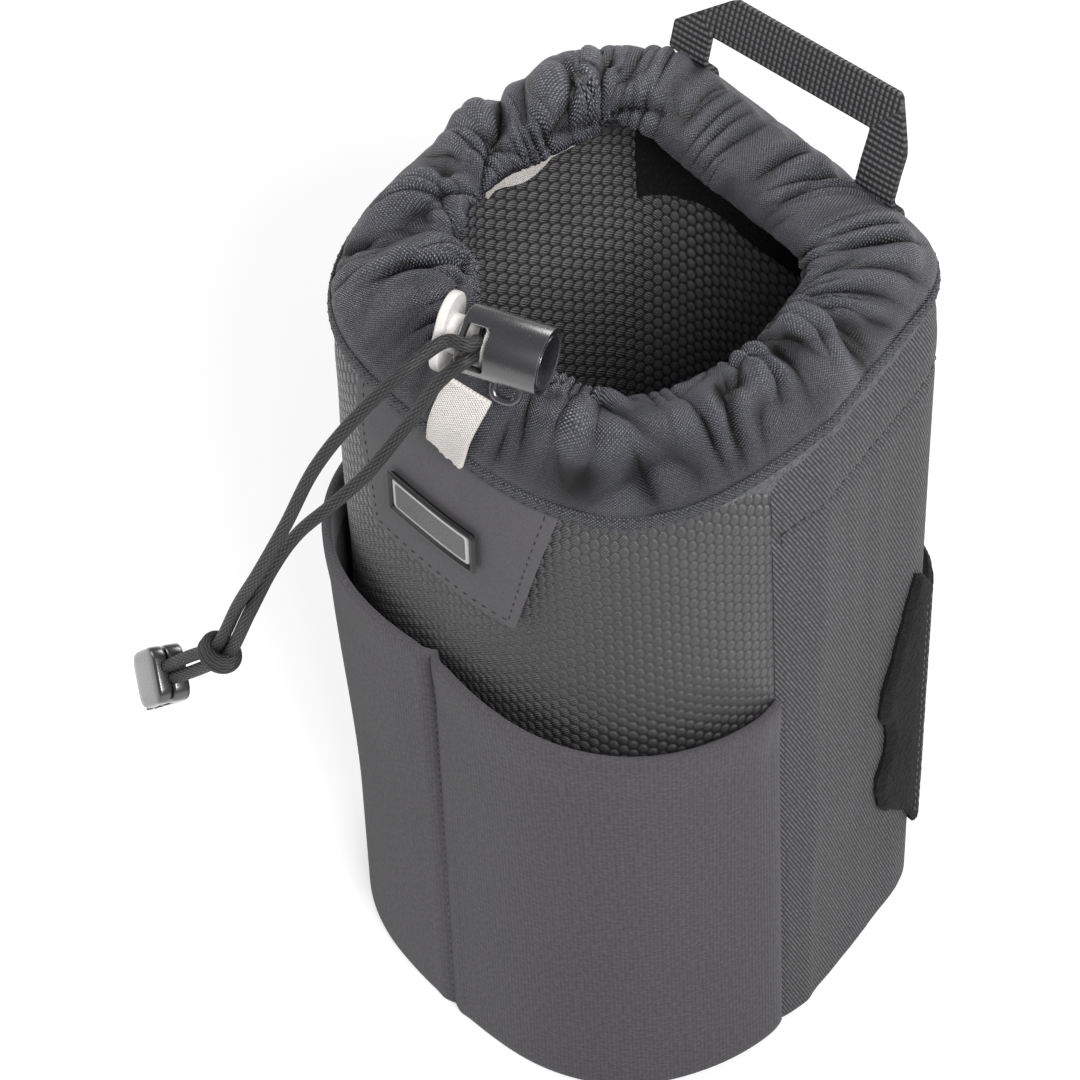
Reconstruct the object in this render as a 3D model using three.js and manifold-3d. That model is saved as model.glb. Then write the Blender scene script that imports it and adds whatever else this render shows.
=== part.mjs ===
import * as THREE from 'three';
import { mergeVertices } from 'three/addons/utils/BufferGeometryUtils.js';
import Module from 'manifold-3d';

// Drawstring lens pouch in millimetres. Up is plus Z, the front faces minus Y,
// and the base rests on Z zero. All lengths that can be set alone are named here.

// Clearances
const gap = 0.3;
const cutOverrun = 2;

// Body plan: a rounded front, straight sides that draw in, and a flat back
const bodyHalfWidth = 60;
const bodyFrontDepth = 65;
const bodyBackDepth = 56;
const backHalfWidth = 46;
const backCornerRadius = 18;
const bodyHeight = 220;
const bodyLean = 4;
const seamDip = 3.6;
const planPowerShares = [0.7273, 0.7273];
const bottomScaleShare = 0.96;
const seamDipAngle = 48;
const seamDipSpread = 25;

// Wall layers, from the outside in
const panelLift = 0.5;
const outerClothThickness = 1.2;
const foamThickness = 3.2;
const liningThickness = 0.9;
const basePanelThickness = 1.8;
const baseFoamThickness = 4;
const liningFloorThickness = 1;
const foamTopSetback = 5;
const liningTopSetback = 2.5;

// Seams between the honeycomb front and the twill sides
const frontSeamTopBack = 17;
const frontSeamBottomBack = 9.4;

// Inside trims
const loopLiningThickness = 0.8;
const loopLiningBottom = 70;
const loopLiningTopDrop = 12;
const loopLiningSideInset = 10;
const hemTapeThickness = 0.7;
const hemTapeHeight = 8.5;
const hemTapeDrop = 1.4;
const hemTapeSpanShares = [0.7, 0.845];

// Gathered collar
const collarThickness = 1.2;
const collarEase = 0.3;
const collarSkirt = 4.5;
const collarShoulderRise = 5;
const collarShoulderInset = 2;
const collarShoulderBackInset = 5.4;
const collarBendRise = 9;
const collarBendInset = 6;
const collarBendBackInset = 9;
const hemHalfWidth = 37;
const hemBackHalfWidth = 31;
const hemBackDepth = 30;
const hemFrontDepth = 35;
const hemCornerRadius = 12;
const hemShiftX = 2.5;
const hemShiftY = -7.5;
const hemRise = 10;
const hemHeight = bodyHeight + hemRise;
const collarCrestRise = 2.6;
const channelDepth = 3.9;
const channelReach = 7.2;
const channelCordInset = 3.7;
const channelCordDrop = 1.1;
const foldHeight = 2.1;
const deepFoldHeight = 3;
const deepFoldSpread = 5.2;
const foldCounts = [15, 10, 6];
const foldWeightShares = [0.5, 0.32, 0.18];
const deepFoldPlaceShares = [0.105, 0.075, 0.67, 0.63, 0.79, 0.86];

// Seam band below the collar
const seamBandThickness = 0.9;
const seamBandHeight = 3.6;

// Stretch pocket across the front
const pocketThickness = 1.5;
const pocketHeight = 135;
const pocketStandoff = 6;
const pocketBottomLift = 0.6;
const pocketRimSag = 1.6;
const pocketRimWidth = 5.2;
const pocketRimThickness = 2.8;
const pocketRiseShare = 0.3;
const pocketFlareShare = 0.4;

// Smooth patch and blank badge
const patchThickness = 0.8;
const patchReach = 51;
const patchBottom = bodyHeight - patchReach;
const patchTopDrop = 5.2;
const patchLeftBottom = 19;
const patchLeftTop = 25;
const patchRightBottom = 26;
const patchRightTop = 37;
const badgeCentreX = 3.2;
const badgeDrop = 30.5;
const badgeCentreZ = bodyHeight - badgeDrop;
const badgeHalfWidth = 14;
const badgeHalfHeight = 6.8;
const badgeCorner = 2.4;
const badgeFrameThickness = 2;
const badgeRimWidth = 2.6;
const badgePlateThickness = 1.3;
const badgePlateCornerShare = 0.96;

// Cord lock: barrel, plunger, spring and end disc
const lockAside = 12.8;
const lockForward = 11;
const lockRise = 16.4;
const lockX = hemShiftX + lockAside;
const lockY = hemShiftY - hemFrontDepth - lockForward;
const lockZ = hemHeight + lockRise;
const lockTurn = 24;
const lockRoll = 33;
const barrelRadius = 7.7;
const barrelLength = 19;
const barrelBoreRadius = 5.8;
const barrelEndWall = 3;
const barrelChamfer = 0.7;
const slotWidth = 5.4;
const slotSpan = 10.4;
const slotOffset = 5.4;
const plungerClearance = 0.3;
const plungerTravel = 3.4;
const plungerStemLength = 8.4;
const plungerHoleWidth = 4.4;
const plungerHoleSpan = 8.6;
const plungerButtonThickness = 2.2;
const plungerButtonHalfHeight = 9;
const plungerButtonHalfWidth = 6.6;
const plungerNeckRadius = 4.4;
const discRecess = 0.9;
const discRadius = 6.2;
const discThickness = 0.5;
const springWireRadius = 0.35;
const springMeanRadius = 3.9;
const springTurns = 4;
const bailWireRadius = 0.9;
const bailHalfWidth = 2.8;
const bailShift = 1.6;
const bailReach = 3.2;

// Light webbing tether that holds the lock
const tetherWidth = 11;
const tetherThickness = 1.2;
const tetherFootX = 10.5;
const tetherFootRise = 3;
const tetherFootInset = 0.8;
const tetherKneeX = 12.5;
const tetherKneeRise = 8.2;
const tetherKneeInset = 1.6;

// Draw cord, knot and cord end
const cordRadius = 1.5;
const cordPitch = 3.5;
// Points along each strand, measured from the middle of the lock
const strandRouteA = [
  [-6.2, -11.5, 6.6],
  [-7.8, -21.5, 4.1],
  [-14.8, -30.5, -10.5],
  [-22.2, -36, -28.4],
  [-29.2, -39.5, -51],
  [-37.4, -41.5, -73.3],
  [-45.7, -42, -90.8],
];
const strandRouteB = [
  [-4.8, -13, -2.9],
  [-11.8, -18.5, -19.3],
  [-17, -25, -33.7],
  [-24.2, -29.5, -47.3],
  [-33.2, -33, -62.8],
  [-39.5, -35, -76.7],
  [-43.7, -38, -89.5],
];
const knotAside = 52.7;
const knotForward = 41.5;
const knotDrop = 114.6;
const knotX = lockX - knotAside;
const knotY = lockY - knotForward;
const knotZ = lockZ - knotDrop;
const knotRadius = 4.7;
const knotWrapRadius = 1.6;
const knotSeat = 4.5;
const knotTailOffset = 1.75;
const cordEndAside = 78.1;
const cordEndForward = 39.7;
const cordEndDrop = 147.8;
const cordEndX = lockX - cordEndAside;
const cordEndY = lockY - cordEndForward;
const cordEndZ = lockZ - cordEndDrop;
const cordEndLength = 14.5;
const cordEndWidth = 13.5;
const cordEndDepth = 4.2;
const cordEndLidDepth = 3.4;
const cordEndCorner = 3.2;
const cordEndBevel = 0.7;
const cordEndPinRadius = 0.8;
const cordEndEarWidth = 2.2;
const cordEndKnuckleRadius = 1.6;
const cordEndRoll = 24;

// Webbing handle on the back seam
const handleWidth = 11.5;
const handleThickness = 1.6;
const handleCentreX = -8.5;
const handleHalfSpan = 30.5;
const handleFootDrop = 13;
const handleHingeRise = 0.6;
const handleReach = 18.4;
const handleSlope = 3.6;
const handleLean = 24;
const handleSetIn = 10;
const handleBendRise = 6.6;
const handleFootZ = bodyHeight - handleFootDrop;
const handleHingeZ = bodyHeight + handleHingeRise;
const handleCornerRun = 7;
const handleTackHeight = 5;
const handleTackThickness = 0.8;
const handleTackDrop = 4;

// Loop faced pad that wraps the back corners
const padThickness = 2;
const padBottom = 18;
const padTop = 118;
const padReach = 26;
const padOutlineShares = [
  [-1, 1], [0.385, 1], [0.5, 0.98], [0.577, 0.85], [0.692, 0.75], [0.885, 0.66],
  [1, 0.62], [0.962, 0.54], [0.808, 0.44], [0.846, 0.38], [0.885, 0.31], [0.885, 0.19],
  [0.25, 0], [-1, 0],
];

// Belt flap behind the pad
const flapHalfWidth = 26;
const flapTop = 110;
const flapBottom = 20;
const flapStandoff = 9.3;
const flapY = bodyBackDepth + flapStandoff;
const flapThickness = 3;
const flapCorner = 9;
const flapBindingWidth = 5;
const flapBindingThickness = 4.2;
const flapBarHeight = 7;
const flapBarHalfWidth = 23;
const hookStripHalfWidth = 18;
const hookStripHeight = 20;
const hookStripThickness = 1;
const hookStripLift = 8;
const landingPadMargin = 3;

// Fineness
const fine = 1e-3;
const planSteps = 720;

const wasm = await Module();
wasm.setup();

const finishes = {
  honeycomb: { color: 0x2b2b2e, roughness: 0.75, metalness: 0 },
  twill: { color: 0x37373b, roughness: 0.85, metalness: 0 },
  gathered: { color: 0x2a2b2f, roughness: 0.8, metalness: 0 },
  stretch: { color: 0x3b3b3e, roughness: 0.95, metalness: 0 },
  lining: { color: 0x202023, roughness: 0.8, metalness: 0 },
  loop: { color: 0x161618, roughness: 1, metalness: 0 },
  foam: { color: 0x55555a, roughness: 1, metalness: 0 },
  smooth: { color: 0x2e2e31, roughness: 0.55, metalness: 0 },
  rubber: { color: 0x17171a, roughness: 0.6, metalness: 0 },
  plate: { color: 0xc9c9c9, roughness: 0.35, metalness: 0.3 },
  hard: { color: 0x34353a, roughness: 0.4, metalness: 0 },
  pale: { color: 0xc4c0ba, roughness: 0.5, metalness: 0 },
  tape: { color: 0xa8a39c, roughness: 0.9, metalness: 0 },
  cord: { color: 0x1b1b1e, roughness: 0.8, metalness: 0 },
  webbing: { color: 0x242427, roughness: 0.85, metalness: 0 },
  steel: { color: 0xb9bcc2, roughness: 0.25, metalness: 1 },
};

const rig = new THREE.Group();

function addPiece(name, geometry, finish) {
  const clean = new THREE.BufferGeometry();
  clean.setAttribute('position', geometry.getAttribute('position').clone());
  if (geometry.index) clean.setIndex(geometry.index.clone());
  const merged = mergeVertices(clean, fine);
  merged.computeVertexNormals();
  const mesh = new THREE.Mesh(merged, new THREE.MeshStandardMaterial(finishes[finish]));
  mesh.name = name;
  rig.add(mesh);
  return mesh;
}

function toSolid(geometry) {
  const bare = new THREE.BufferGeometry();
  bare.setAttribute('position', geometry.getAttribute('position').clone());
  if (geometry.index) bare.setIndex(geometry.index.clone());
  const merged = mergeVertices(bare, fine);
  const vertProperties = new Float32Array(merged.getAttribute('position').array);
  const triVerts = new Uint32Array(merged.index.array);
  return new wasm.Manifold(new wasm.Mesh({ numProp: 3, vertProperties, triVerts }));
}

function toGeometry(solid) {
  const mesh = solid.getMesh();
  const geometry = new THREE.BufferGeometry();
  const places = new Float32Array((mesh.vertProperties.length / mesh.numProp) * 3);
  for (let i = 0; i < places.length / 3; i += 1) {
    for (let axis = 0; axis < 3; axis += 1) {
      places[i * 3 + axis] = mesh.vertProperties[i * mesh.numProp + axis];
    }
  }
  geometry.setAttribute('position', new THREE.BufferAttribute(places, 3));
  geometry.setIndex(Array.from(mesh.triVerts));
  return geometry;
}

function mix(a, b, share) {
  return a + (b - a) * share;
}

function smooth(a, b, value) {
  const share = Math.min(1, Math.max(0, (value - a) / (b - a)));
  return share * share * (3 - 2 * share);
}

// A closed plan outline walked by its share of the whole length. Share zero is the
// middle of the front, and the walk goes to the right, the back and the left.
function makePlan({ halfWidth, front, back, backHalf, corner, shiftX = 0, shiftY = 0 }) {
  const points = [];
  const arcSteps = 90;
  const cornerSteps = 24;
  const power = planPowerShares;
  for (let i = 0; i <= arcSteps; i += 1) {
    const angle = (Math.PI / 2) * (i / arcSteps);
    points.push([halfWidth * Math.sin(angle) ** power[0], -front * Math.cos(angle) ** power[1]]);
  }
  const drawIn = (halfWidth - backHalf) * (corner / back);
  const start = [backHalf + drawIn, back - corner];
  const knee = [backHalf, back];
  const end = [backHalf - corner, back];
  for (let i = 0; i <= cornerSteps; i += 1) {
    const share = i / cornerSteps;
    const a = (1 - share) ** 2;
    const b = 2 * share * (1 - share);
    const c = share ** 2;
    points.push([a * start[0] + b * knee[0] + c * end[0], a * start[1] + b * knee[1] + c * end[1]]);
  }
  points.push([0, back]);
  const mirrored = points.slice(1, -1).reverse().map(([x, y]) => [-x, y]);
  const loop = points.concat(mirrored, [points[0]]).map(([x, y]) => [x + shiftX, y + shiftY]);
  const marks = [0];
  for (let i = 1; i < loop.length; i += 1) {
    marks.push(marks[i - 1] + Math.hypot(loop[i][0] - loop[i - 1][0], loop[i][1] - loop[i - 1][1]));
  }
  const total = marks[marks.length - 1];
  const even = [];
  let at = 0;
  for (let i = 0; i < planSteps; i += 1) {
    const goal = (total * i) / planSteps;
    while (marks[at + 1] < goal) at += 1;
    const share = (goal - marks[at]) / (marks[at + 1] - marks[at]);
    even.push([mix(loop[at][0], loop[at + 1][0], share), mix(loop[at][1], loop[at + 1][1], share)]);
  }
  return { even, total };
}

function planAt(plan, share) {
  const turn = ((share % 1) + 1) % 1;
  const place = turn * planSteps;
  const low = Math.floor(place) % planSteps;
  const high = (low + 1) % planSteps;
  const part = place - Math.floor(place);
  const x = mix(plan.even[low][0], plan.even[high][0], part);
  const y = mix(plan.even[low][1], plan.even[high][1], part);
  const reach = 6;
  const ahead = plan.even[(low + reach) % planSteps];
  const behind = plan.even[(low - reach + 1 + planSteps) % planSteps];
  const length = Math.hypot(ahead[0] - behind[0], ahead[1] - behind[1]);
  const nx = (ahead[1] - behind[1]) / length;
  const ny = -(ahead[0] - behind[0]) / length;
  return { x, y, nx, ny };
}

const bodyPlan = makePlan({
  halfWidth: bodyHalfWidth,
  front: bodyFrontDepth,
  back: bodyBackDepth,
  backHalf: backHalfWidth,
  corner: backCornerRadius,
});
const hemPlan = makePlan({
  halfWidth: hemHalfWidth,
  front: hemFrontDepth,
  back: hemBackDepth,
  backHalf: hemBackHalfWidth,
  corner: hemCornerRadius,
  shiftX: hemShiftX,
  shiftY: hemShiftY,
});

// A place on the outside of the body, moved out along its normal
function onBody(share, z, out) {
  const spot = planAt(bodyPlan, share);
  const rise = z / bodyHeight;
  const scale = mix(bottomScaleShare, 1, rise);
  const lean = bodyLean * (1 - rise);
  return new THREE.Vector3(spot.x * scale + spot.nx * out, spot.y * scale + lean + spot.ny * out, z);
}

// The collar seam dips a little at the four quarters of the body
function seamAt(share) {
  const spot = planAt(bodyPlan, share);
  const angle = Math.abs(Math.atan2(spot.x, -spot.y)) * (180 / Math.PI);
  return bodyHeight - seamDip * Math.exp(-(((angle - seamDipAngle) / seamDipSpread) ** 2));
}

// The share of the walk at which the right side lies this far behind the centre
function shareAtDepth(y) {
  for (let i = 1; i < planSteps / 2; i += 1) {
    const before = bodyPlan.even[i - 1];
    const here = bodyPlan.even[i];
    if (before[1] <= y && here[1] > y) {
      return (i - 1 + (y - before[1]) / (here[1] - before[1])) / planSteps;
    }
  }
  return 0.5;
}

// A closed solid between two sheets of points over a grid
function gridSolid(columns, rows, ring, outerAt, innerAt) {
  const across = ring ? columns : columns + 1;
  const places = [];
  for (const sheetAt of [outerAt, innerAt]) {
    for (let i = 0; i < across; i += 1) {
      for (let j = 0; j <= rows; j += 1) {
        const point = sheetAt(i / columns, j / rows);
        places.push(point.x, point.y, point.z);
      }
    }
  }
  const perSheet = across * (rows + 1);
  const outer = (i, j) => (i % across) * (rows + 1) + j;
  const inner = (i, j) => perSheet + outer(i, j);
  const faces = [];
  const quad = (a, b, c, d) => faces.push(a, b, c, a, c, d);
  for (let i = 0; i < columns; i += 1) {
    for (let j = 0; j < rows; j += 1) {
      quad(outer(i, j), outer(i + 1, j), outer(i + 1, j + 1), outer(i, j + 1));
      quad(inner(i, j), inner(i, j + 1), inner(i + 1, j + 1), inner(i + 1, j));
    }
    quad(inner(i, 0), inner(i + 1, 0), outer(i + 1, 0), outer(i, 0));
    quad(outer(i, rows), outer(i + 1, rows), inner(i + 1, rows), inner(i, rows));
  }
  if (!ring) {
    for (let j = 0; j < rows; j += 1) {
      quad(outer(0, j), outer(0, j + 1), inner(0, j + 1), inner(0, j));
      quad(inner(columns, j), inner(columns, j + 1), outer(columns, j + 1), outer(columns, j));
    }
  }
  const geometry = new THREE.BufferGeometry();
  geometry.setAttribute('position', new THREE.Float32BufferAttribute(places, 3));
  geometry.setIndex(faces);
  return geometry;
}

// A panel that lies along the body between two limits of share and of height
function wallPanel({ from, to, low, high, innerOut, outerOut, columns, rows }) {
  const place = (u, v, out) => {
    const guess = mix(from(v), to(v), u);
    const z = mix(low(guess), high(guess), v);
    return onBody(guess, z, out(guess, z, u, v));
  };
  return gridSolid(columns, rows, false, (u, v) => place(u, v, outerOut), (u, v) => place(u, v, innerOut));
}

function wallRing({ low, high, innerOut, outerOut, columns }) {
  const place = (u, v, out) => onBody(u, mix(low, high(u), v), out);
  return gridSolid(columns, 1, true, (u, v) => place(u, v, outerOut), (u, v) => place(u, v, innerOut));
}

// A flat plate with the body's plan, set in from the outside
function planPlate(inset, bottom, thickness) {
  const points = [];
  const corners = 64;
  for (let i = 0; i < corners; i += 1) {
    const spot = onBody(i / corners, bottom, -inset);
    points.push(new THREE.Vector2(spot.x, spot.y));
  }
  const plate = new THREE.ExtrudeGeometry(new THREE.Shape(points), {
    depth: thickness,
    bevelEnabled: false,
  });
  return plate.translate(0, 0, bottom);
}

// A tube with closed ends along a smooth route
function tube(route, radius, steps, sides) {
  const curve = new THREE.CatmullRomCurve3(route, false, 'centripetal');
  const ring = [];
  for (let i = 0; i < sides; i += 1) {
    const angle = (2 * Math.PI * i) / sides;
    ring.push(new THREE.Vector2(radius * Math.cos(angle), radius * Math.sin(angle)));
  }
  return new THREE.ExtrudeGeometry(new THREE.Shape(ring), { steps, extrudePath: curve, bevelEnabled: false });
}

// A strap: a flat section carried along a route of centres with a width direction each
function ribbon(centres, widthDirections, width, thickness) {
  const last = centres.length - 1;
  const faceAt = (u, v, side) => {
    const k = Math.round(u * last);
    const ahead = centres[Math.min(last, k + 1)];
    const behind = centres[Math.max(0, k - 1)];
    const along = new THREE.Vector3().subVectors(ahead, behind).normalize();
    const wide = widthDirections[k].clone().normalize();
    const normal = new THREE.Vector3().crossVectors(along, wide).normalize();
    wide.crossVectors(normal, along).normalize();
    return centres[k]
      .clone()
      .addScaledVector(wide, (v - 0.5) * width)
      .addScaledVector(normal, (side * thickness) / 2);
  };
  return gridSolid(last, 1, false, (u, v) => faceAt(u, v, 1), (u, v) => faceAt(u, v, -1));
}

function roundedRect(halfWidth, halfHeight, corner) {
  const shape = new THREE.Shape();
  shape.moveTo(-halfWidth + corner, -halfHeight);
  shape.lineTo(halfWidth - corner, -halfHeight);
  shape.absarc(halfWidth - corner, -halfHeight + corner, corner, -Math.PI / 2, 0);
  shape.lineTo(halfWidth, halfHeight - corner);
  shape.absarc(halfWidth - corner, halfHeight - corner, corner, 0, Math.PI / 2);
  shape.lineTo(-halfWidth + corner, halfHeight);
  shape.absarc(-halfWidth + corner, halfHeight - corner, corner, Math.PI / 2, Math.PI);
  shape.lineTo(-halfWidth, -halfHeight + corner);
  shape.absarc(-halfWidth + corner, -halfHeight + corner, corner, Math.PI, 1.5 * Math.PI);
  return shape;
}

// Plates that stand upright and face the back: the shape's Y becomes Z
function uprightPlate(shape, depth, y) {
  const plate = new THREE.ExtrudeGeometry(shape, { depth, bevelEnabled: false, curveSegments: 8 });
  return plate.rotateX(Math.PI / 2).translate(0, y + depth, 0);
}

// Shares of the walk where the panels meet
const seamShareTop = shareAtDepth(-frontSeamTopBack);
const seamShareBottom = shareAtDepth(-frontSeamBottomBack);
const cornerShare = shareAtDepth(bodyBackDepth - backCornerRadius * 0.3);
const seamSlit = gap / 2 / bodyPlan.total;
const rightSeam = (v) => mix(seamShareBottom, seamShareTop, v);
const straightUp = (out) => () => out;

function addBodyShells() {
  const cloth = { innerOut: straightUp(-outerClothThickness), outerOut: straightUp(0), rows: 4 };
  const whole = { low: () => panelLift, high: seamAt };
  addPiece('front_panel', wallPanel({
    ...cloth,
    ...whole,
    from: (v) => -rightSeam(v) + seamSlit,
    to: (v) => rightSeam(v) - seamSlit,
    columns: 44,
  }), 'honeycomb');
  addPiece('side_panel_right', wallPanel({
    ...cloth,
    ...whole,
    from: (v) => rightSeam(v) + seamSlit,
    to: () => cornerShare - seamSlit,
    columns: 14,
  }), 'twill');
  addPiece('side_panel_left', wallPanel({
    ...cloth,
    ...whole,
    from: () => 1 - cornerShare + seamSlit,
    to: (v) => 1 - rightSeam(v) - seamSlit,
    columns: 14,
  }), 'twill');
  addPiece('back_panel', wallPanel({
    ...cloth,
    ...whole,
    from: () => cornerShare + seamSlit,
    to: () => 1 - cornerShare - seamSlit,
    columns: 16,
  }), 'twill');
  const foamOut = -outerClothThickness - gap;
  const liningOut = foamOut - foamThickness - gap;
  const floorFoam = basePanelThickness + gap;
  const floorLining = floorFoam + baseFoamThickness + gap;
  addPiece('base_panel', planPlate(outerClothThickness + gap, 0, basePanelThickness), 'twill');
  addPiece('base_foam', planPlate(-foamOut + foamThickness + gap, floorFoam, baseFoamThickness), 'foam');
  addPiece('wall_foam', wallRing({
    low: floorFoam,
    high: (u) => seamAt(u) - foamTopSetback,
    innerOut: foamOut - foamThickness,
    outerOut: foamOut,
    columns: 64,
  }), 'foam');
  addPiece('lining_wall', wallRing({
    low: floorLining,
    high: (u) => seamAt(u) - liningTopSetback,
    innerOut: liningOut - liningThickness,
    outerOut: liningOut,
    columns: 64,
  }), 'lining');
  const floorInset = -liningOut + liningThickness + gap;
  addPiece('lining_floor', planPlate(floorInset, floorLining, liningFloorThickness), 'lining');
  const inset = loopLiningSideInset / bodyPlan.total;
  const patchOut = liningOut - liningThickness - gap;
  addPiece('lining_loop_patch', wallPanel({
    from: () => cornerShare - inset,
    to: () => 1 - cornerShare + inset,
    low: () => loopLiningBottom,
    high: (share) => seamAt(share) - loopLiningTopDrop,
    innerOut: straightUp(patchOut - loopLiningThickness),
    outerOut: straightUp(patchOut),
    columns: 24,
    rows: 1,
  }), 'loop');
}

// Fold pattern of the gathers, minus one to one
function gather(share) {
  let sum = 0;
  foldCounts.forEach((count, k) => {
    sum += foldWeightShares[k] * Math.sin(2 * Math.PI * count * share + k * 1.9);
  });
  const straightBack = smooth(0.4, 0.46, share) * (1 - smooth(0.56, 0.62, share));
  return sum * (1 - 0.55 * straightBack);
}

function deepFold(share) {
  const spread = deepFoldSpread / bodyPlan.total;
  let sum = 0;
  for (const place of deepFoldPlaceShares) {
    sum += Math.exp(-(((share - place) / spread) ** 2));
  }
  return sum;
}

// The seam band lies outside the collar's skirt
const bandOut = gap + collarEase + collarThickness + gap;
const bandFace = bandOut + seamBandThickness;

// Nothing ripples under the lock, where the cords come up through the cloth
function underLock(share) {
  const turn = ((share % 1) + 1) % 1;
  return Math.exp(-(((Math.min(turn, 1 - turn)) / 0.05) ** 2));
}

function hemPoint(share) {
  const spot = planAt(hemPlan, share);
  return new THREE.Vector3(spot.x, spot.y, hemHeight);
}

// The path of the collar cloth from its skirt on the body to its channel for the cord
function collarProfile(share) {
  const seam = seamAt(share);
  const foot = onBody(share, seam, 0);
  const hem = hemPoint(share);
  const reach = Math.hypot(hem.x - foot.x, hem.y - foot.y);
  const inX = (hem.x - foot.x) / reach;
  const inY = (hem.y - foot.y) / reach;
  const calm = 1 - underLock(share);
  const ripple = gather(share) * foldHeight * calm - deepFold(share) * deepFoldHeight * calm;
  const skin = gap + collarEase + collarThickness / 2;
  const backness = smooth(0.36, 0.42, share) * (1 - smooth(0.58, 0.64, share));
  const shoulderInset = mix(collarShoulderInset, collarShoulderBackInset, backness);
  const bendInset = mix(collarBendInset, collarBendBackInset, backness);
  const table = [
    [-skin, seam - collarSkirt, 0],
    [-skin, seam + gap, 0],
    [shoulderInset, seam + collarShoulderRise, 0.35],
    [bendInset, seam + collarBendRise, 0.7],
    [reach * 0.34, mix(seam + collarBendRise, hemHeight + collarCrestRise, 0.8), 1],
    [reach * 0.66, hemHeight + collarCrestRise, 0.9],
    [reach - channelCordInset, hemHeight + collarCrestRise * 0.8, 0.1],
    [reach, hemHeight - channelCordDrop, 0.1],
    [reach - channelCordInset, hemHeight - channelDepth - channelCordDrop * 0.2, 0.1],
    [reach - channelReach, hemHeight - channelCordDrop * 1.8, 0.1],
  ];
  return table.map(([inward, z, share2]) => new THREE.Vector3(
    foot.x + inX * inward,
    foot.y + inY * inward,
    z + ripple * share2,
  ));
}

function collarSheetAt(u, v, rows, side) {
  const step = 1 / 480;
  const j = Math.round(v * rows);
  const here = collarProfile(u);
  const ahead = collarProfile(u + step);
  const behind = collarProfile(u - step);
  const along = new THREE.Vector3().subVectors(ahead[j], behind[j]);
  const up = new THREE.Vector3().subVectors(here[Math.min(rows, j + 1)], here[Math.max(0, j - 1)]);
  const normal = along.cross(up).normalize();
  return here[j].addScaledVector(normal, (side * collarThickness) / 2);
}

// The lock's own frame: X along the barrel, Y out through the cord slot
const lockAlong = new THREE.Vector3(1, 0, 0).applyAxisAngle(
  new THREE.Vector3(0, 0, 1),
  THREE.MathUtils.degToRad(lockTurn),
);
const lockOut = new THREE.Vector3(lockAlong.y, -lockAlong.x, 0).applyAxisAngle(
  lockAlong,
  -THREE.MathUtils.degToRad(lockRoll),
);
const lockDown = new THREE.Vector3().crossVectors(lockAlong, lockOut);
const lockCentre = new THREE.Vector3(lockX, lockY, lockZ);
const lockFrame = new THREE.Matrix4().makeBasis(lockAlong, lockOut, lockDown).setPosition(lockCentre);

function inLock(x, y, z) {
  return new THREE.Vector3(x, y, z).applyMatrix4(lockFrame);
}

function channelPoint(share) {
  const foot = onBody(share, seamAt(share), 0);
  const hem = hemPoint(share);
  const inward = new THREE.Vector3(hem.x - foot.x, hem.y - foot.y, 0).normalize();
  return hem.addScaledVector(inward, -channelCordInset).setZ(hemHeight - channelCordDrop);
}

const leadShare = 0.026;
const leadGapShare = 0.013;

function addCollar() {
  const rows = 9;
  const columns = 60;
  const cloth = toSolid(gridSolid(
    columns,
    rows,
    true,
    (u, v) => collarSheetAt(u, v, rows, 1),
    (u, v) => collarSheetAt(u, v, rows, -1),
  ));
  const slit = new THREE.BoxGeometry(cordPitch + cordRadius * 8, cordRadius * 5, channelDepth * 2);
  const middle = channelPoint(leadShare);
  slit.translate(middle.x, middle.y - cordRadius * 0.7, hemHeight + channelDepth);
  addPiece('collar', toGeometry(cloth.subtract(toSolid(slit))), 'gathered');
  addPiece('collar_seam_band', gridSolid(
    64,
    1,
    true,
    (u, v) => onBody(u, mix(seamAt(u) - collarSkirt, seamAt(u) - collarSkirt + seamBandHeight, v),
      bandFace),
    (u, v) => onBody(u, mix(seamAt(u) - collarSkirt, seamAt(u) - collarSkirt + seamBandHeight, v), bandOut),
  ), 'gathered');
  const tapeAt = (u, v, depth) => {
    const share = mix(hemTapeSpanShares[0], hemTapeSpanShares[1], u);
    const foot = onBody(share, seamAt(share), 0);
    const hem = hemPoint(share);
    const inward = new THREE.Vector3(hem.x - foot.x, hem.y - foot.y, 0).normalize();
    const top = hemHeight - channelDepth - hemTapeDrop;
    return hem.addScaledVector(inward, -channelCordInset - depth).setZ(mix(top - hemTapeHeight, top, v));
  };
  addPiece('collar_inner_tape', gridSolid(
    16,
    1,
    false,
    (u, v) => tapeAt(u, v, hemTapeThickness),
    (u, v) => tapeAt(u, v, 0),
  ), 'tape');
}

function addDrawcord() {
  const route = [];
  const lift = barrelRadius + gap * 2;
  const slotPlace = (side, out) => inLock(-slotOffset, -out, side * (cordPitch / 2));
  const stemFace = barrelBoreRadius + gap;
  route.push(slotPlace(1, stemFace));
  route.push(slotPlace(1, lift));
  const firstShare = leadShare - leadGapShare;
  const lastShare = leadShare + leadGapShare - 1;
  const rise = channelPoint(firstShare);
  route.push(new THREE.Vector3(rise.x, rise.y, hemHeight + collarCrestRise));
  const count = 44;
  for (let i = 0; i <= count; i += 1) {
    route.push(channelPoint(mix(firstShare - leadGapShare, lastShare + leadGapShare, i / count)));
  }
  const fall = channelPoint(lastShare);
  route.push(new THREE.Vector3(fall.x, fall.y, hemHeight + collarCrestRise));
  route.push(slotPlace(-1, lift));
  route.push(slotPlace(-1, stemFace));
  addPiece('drawcord_ring', tube(route, cordRadius, 84, 8), 'cord');
}

function rimShape(share) {
  const edge = seamShareTop;
  const across = Math.abs(share) / edge;
  return Math.max(0, Math.sin(Math.PI * Math.min(1, across))) ** pocketFlareShare;
}

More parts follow.
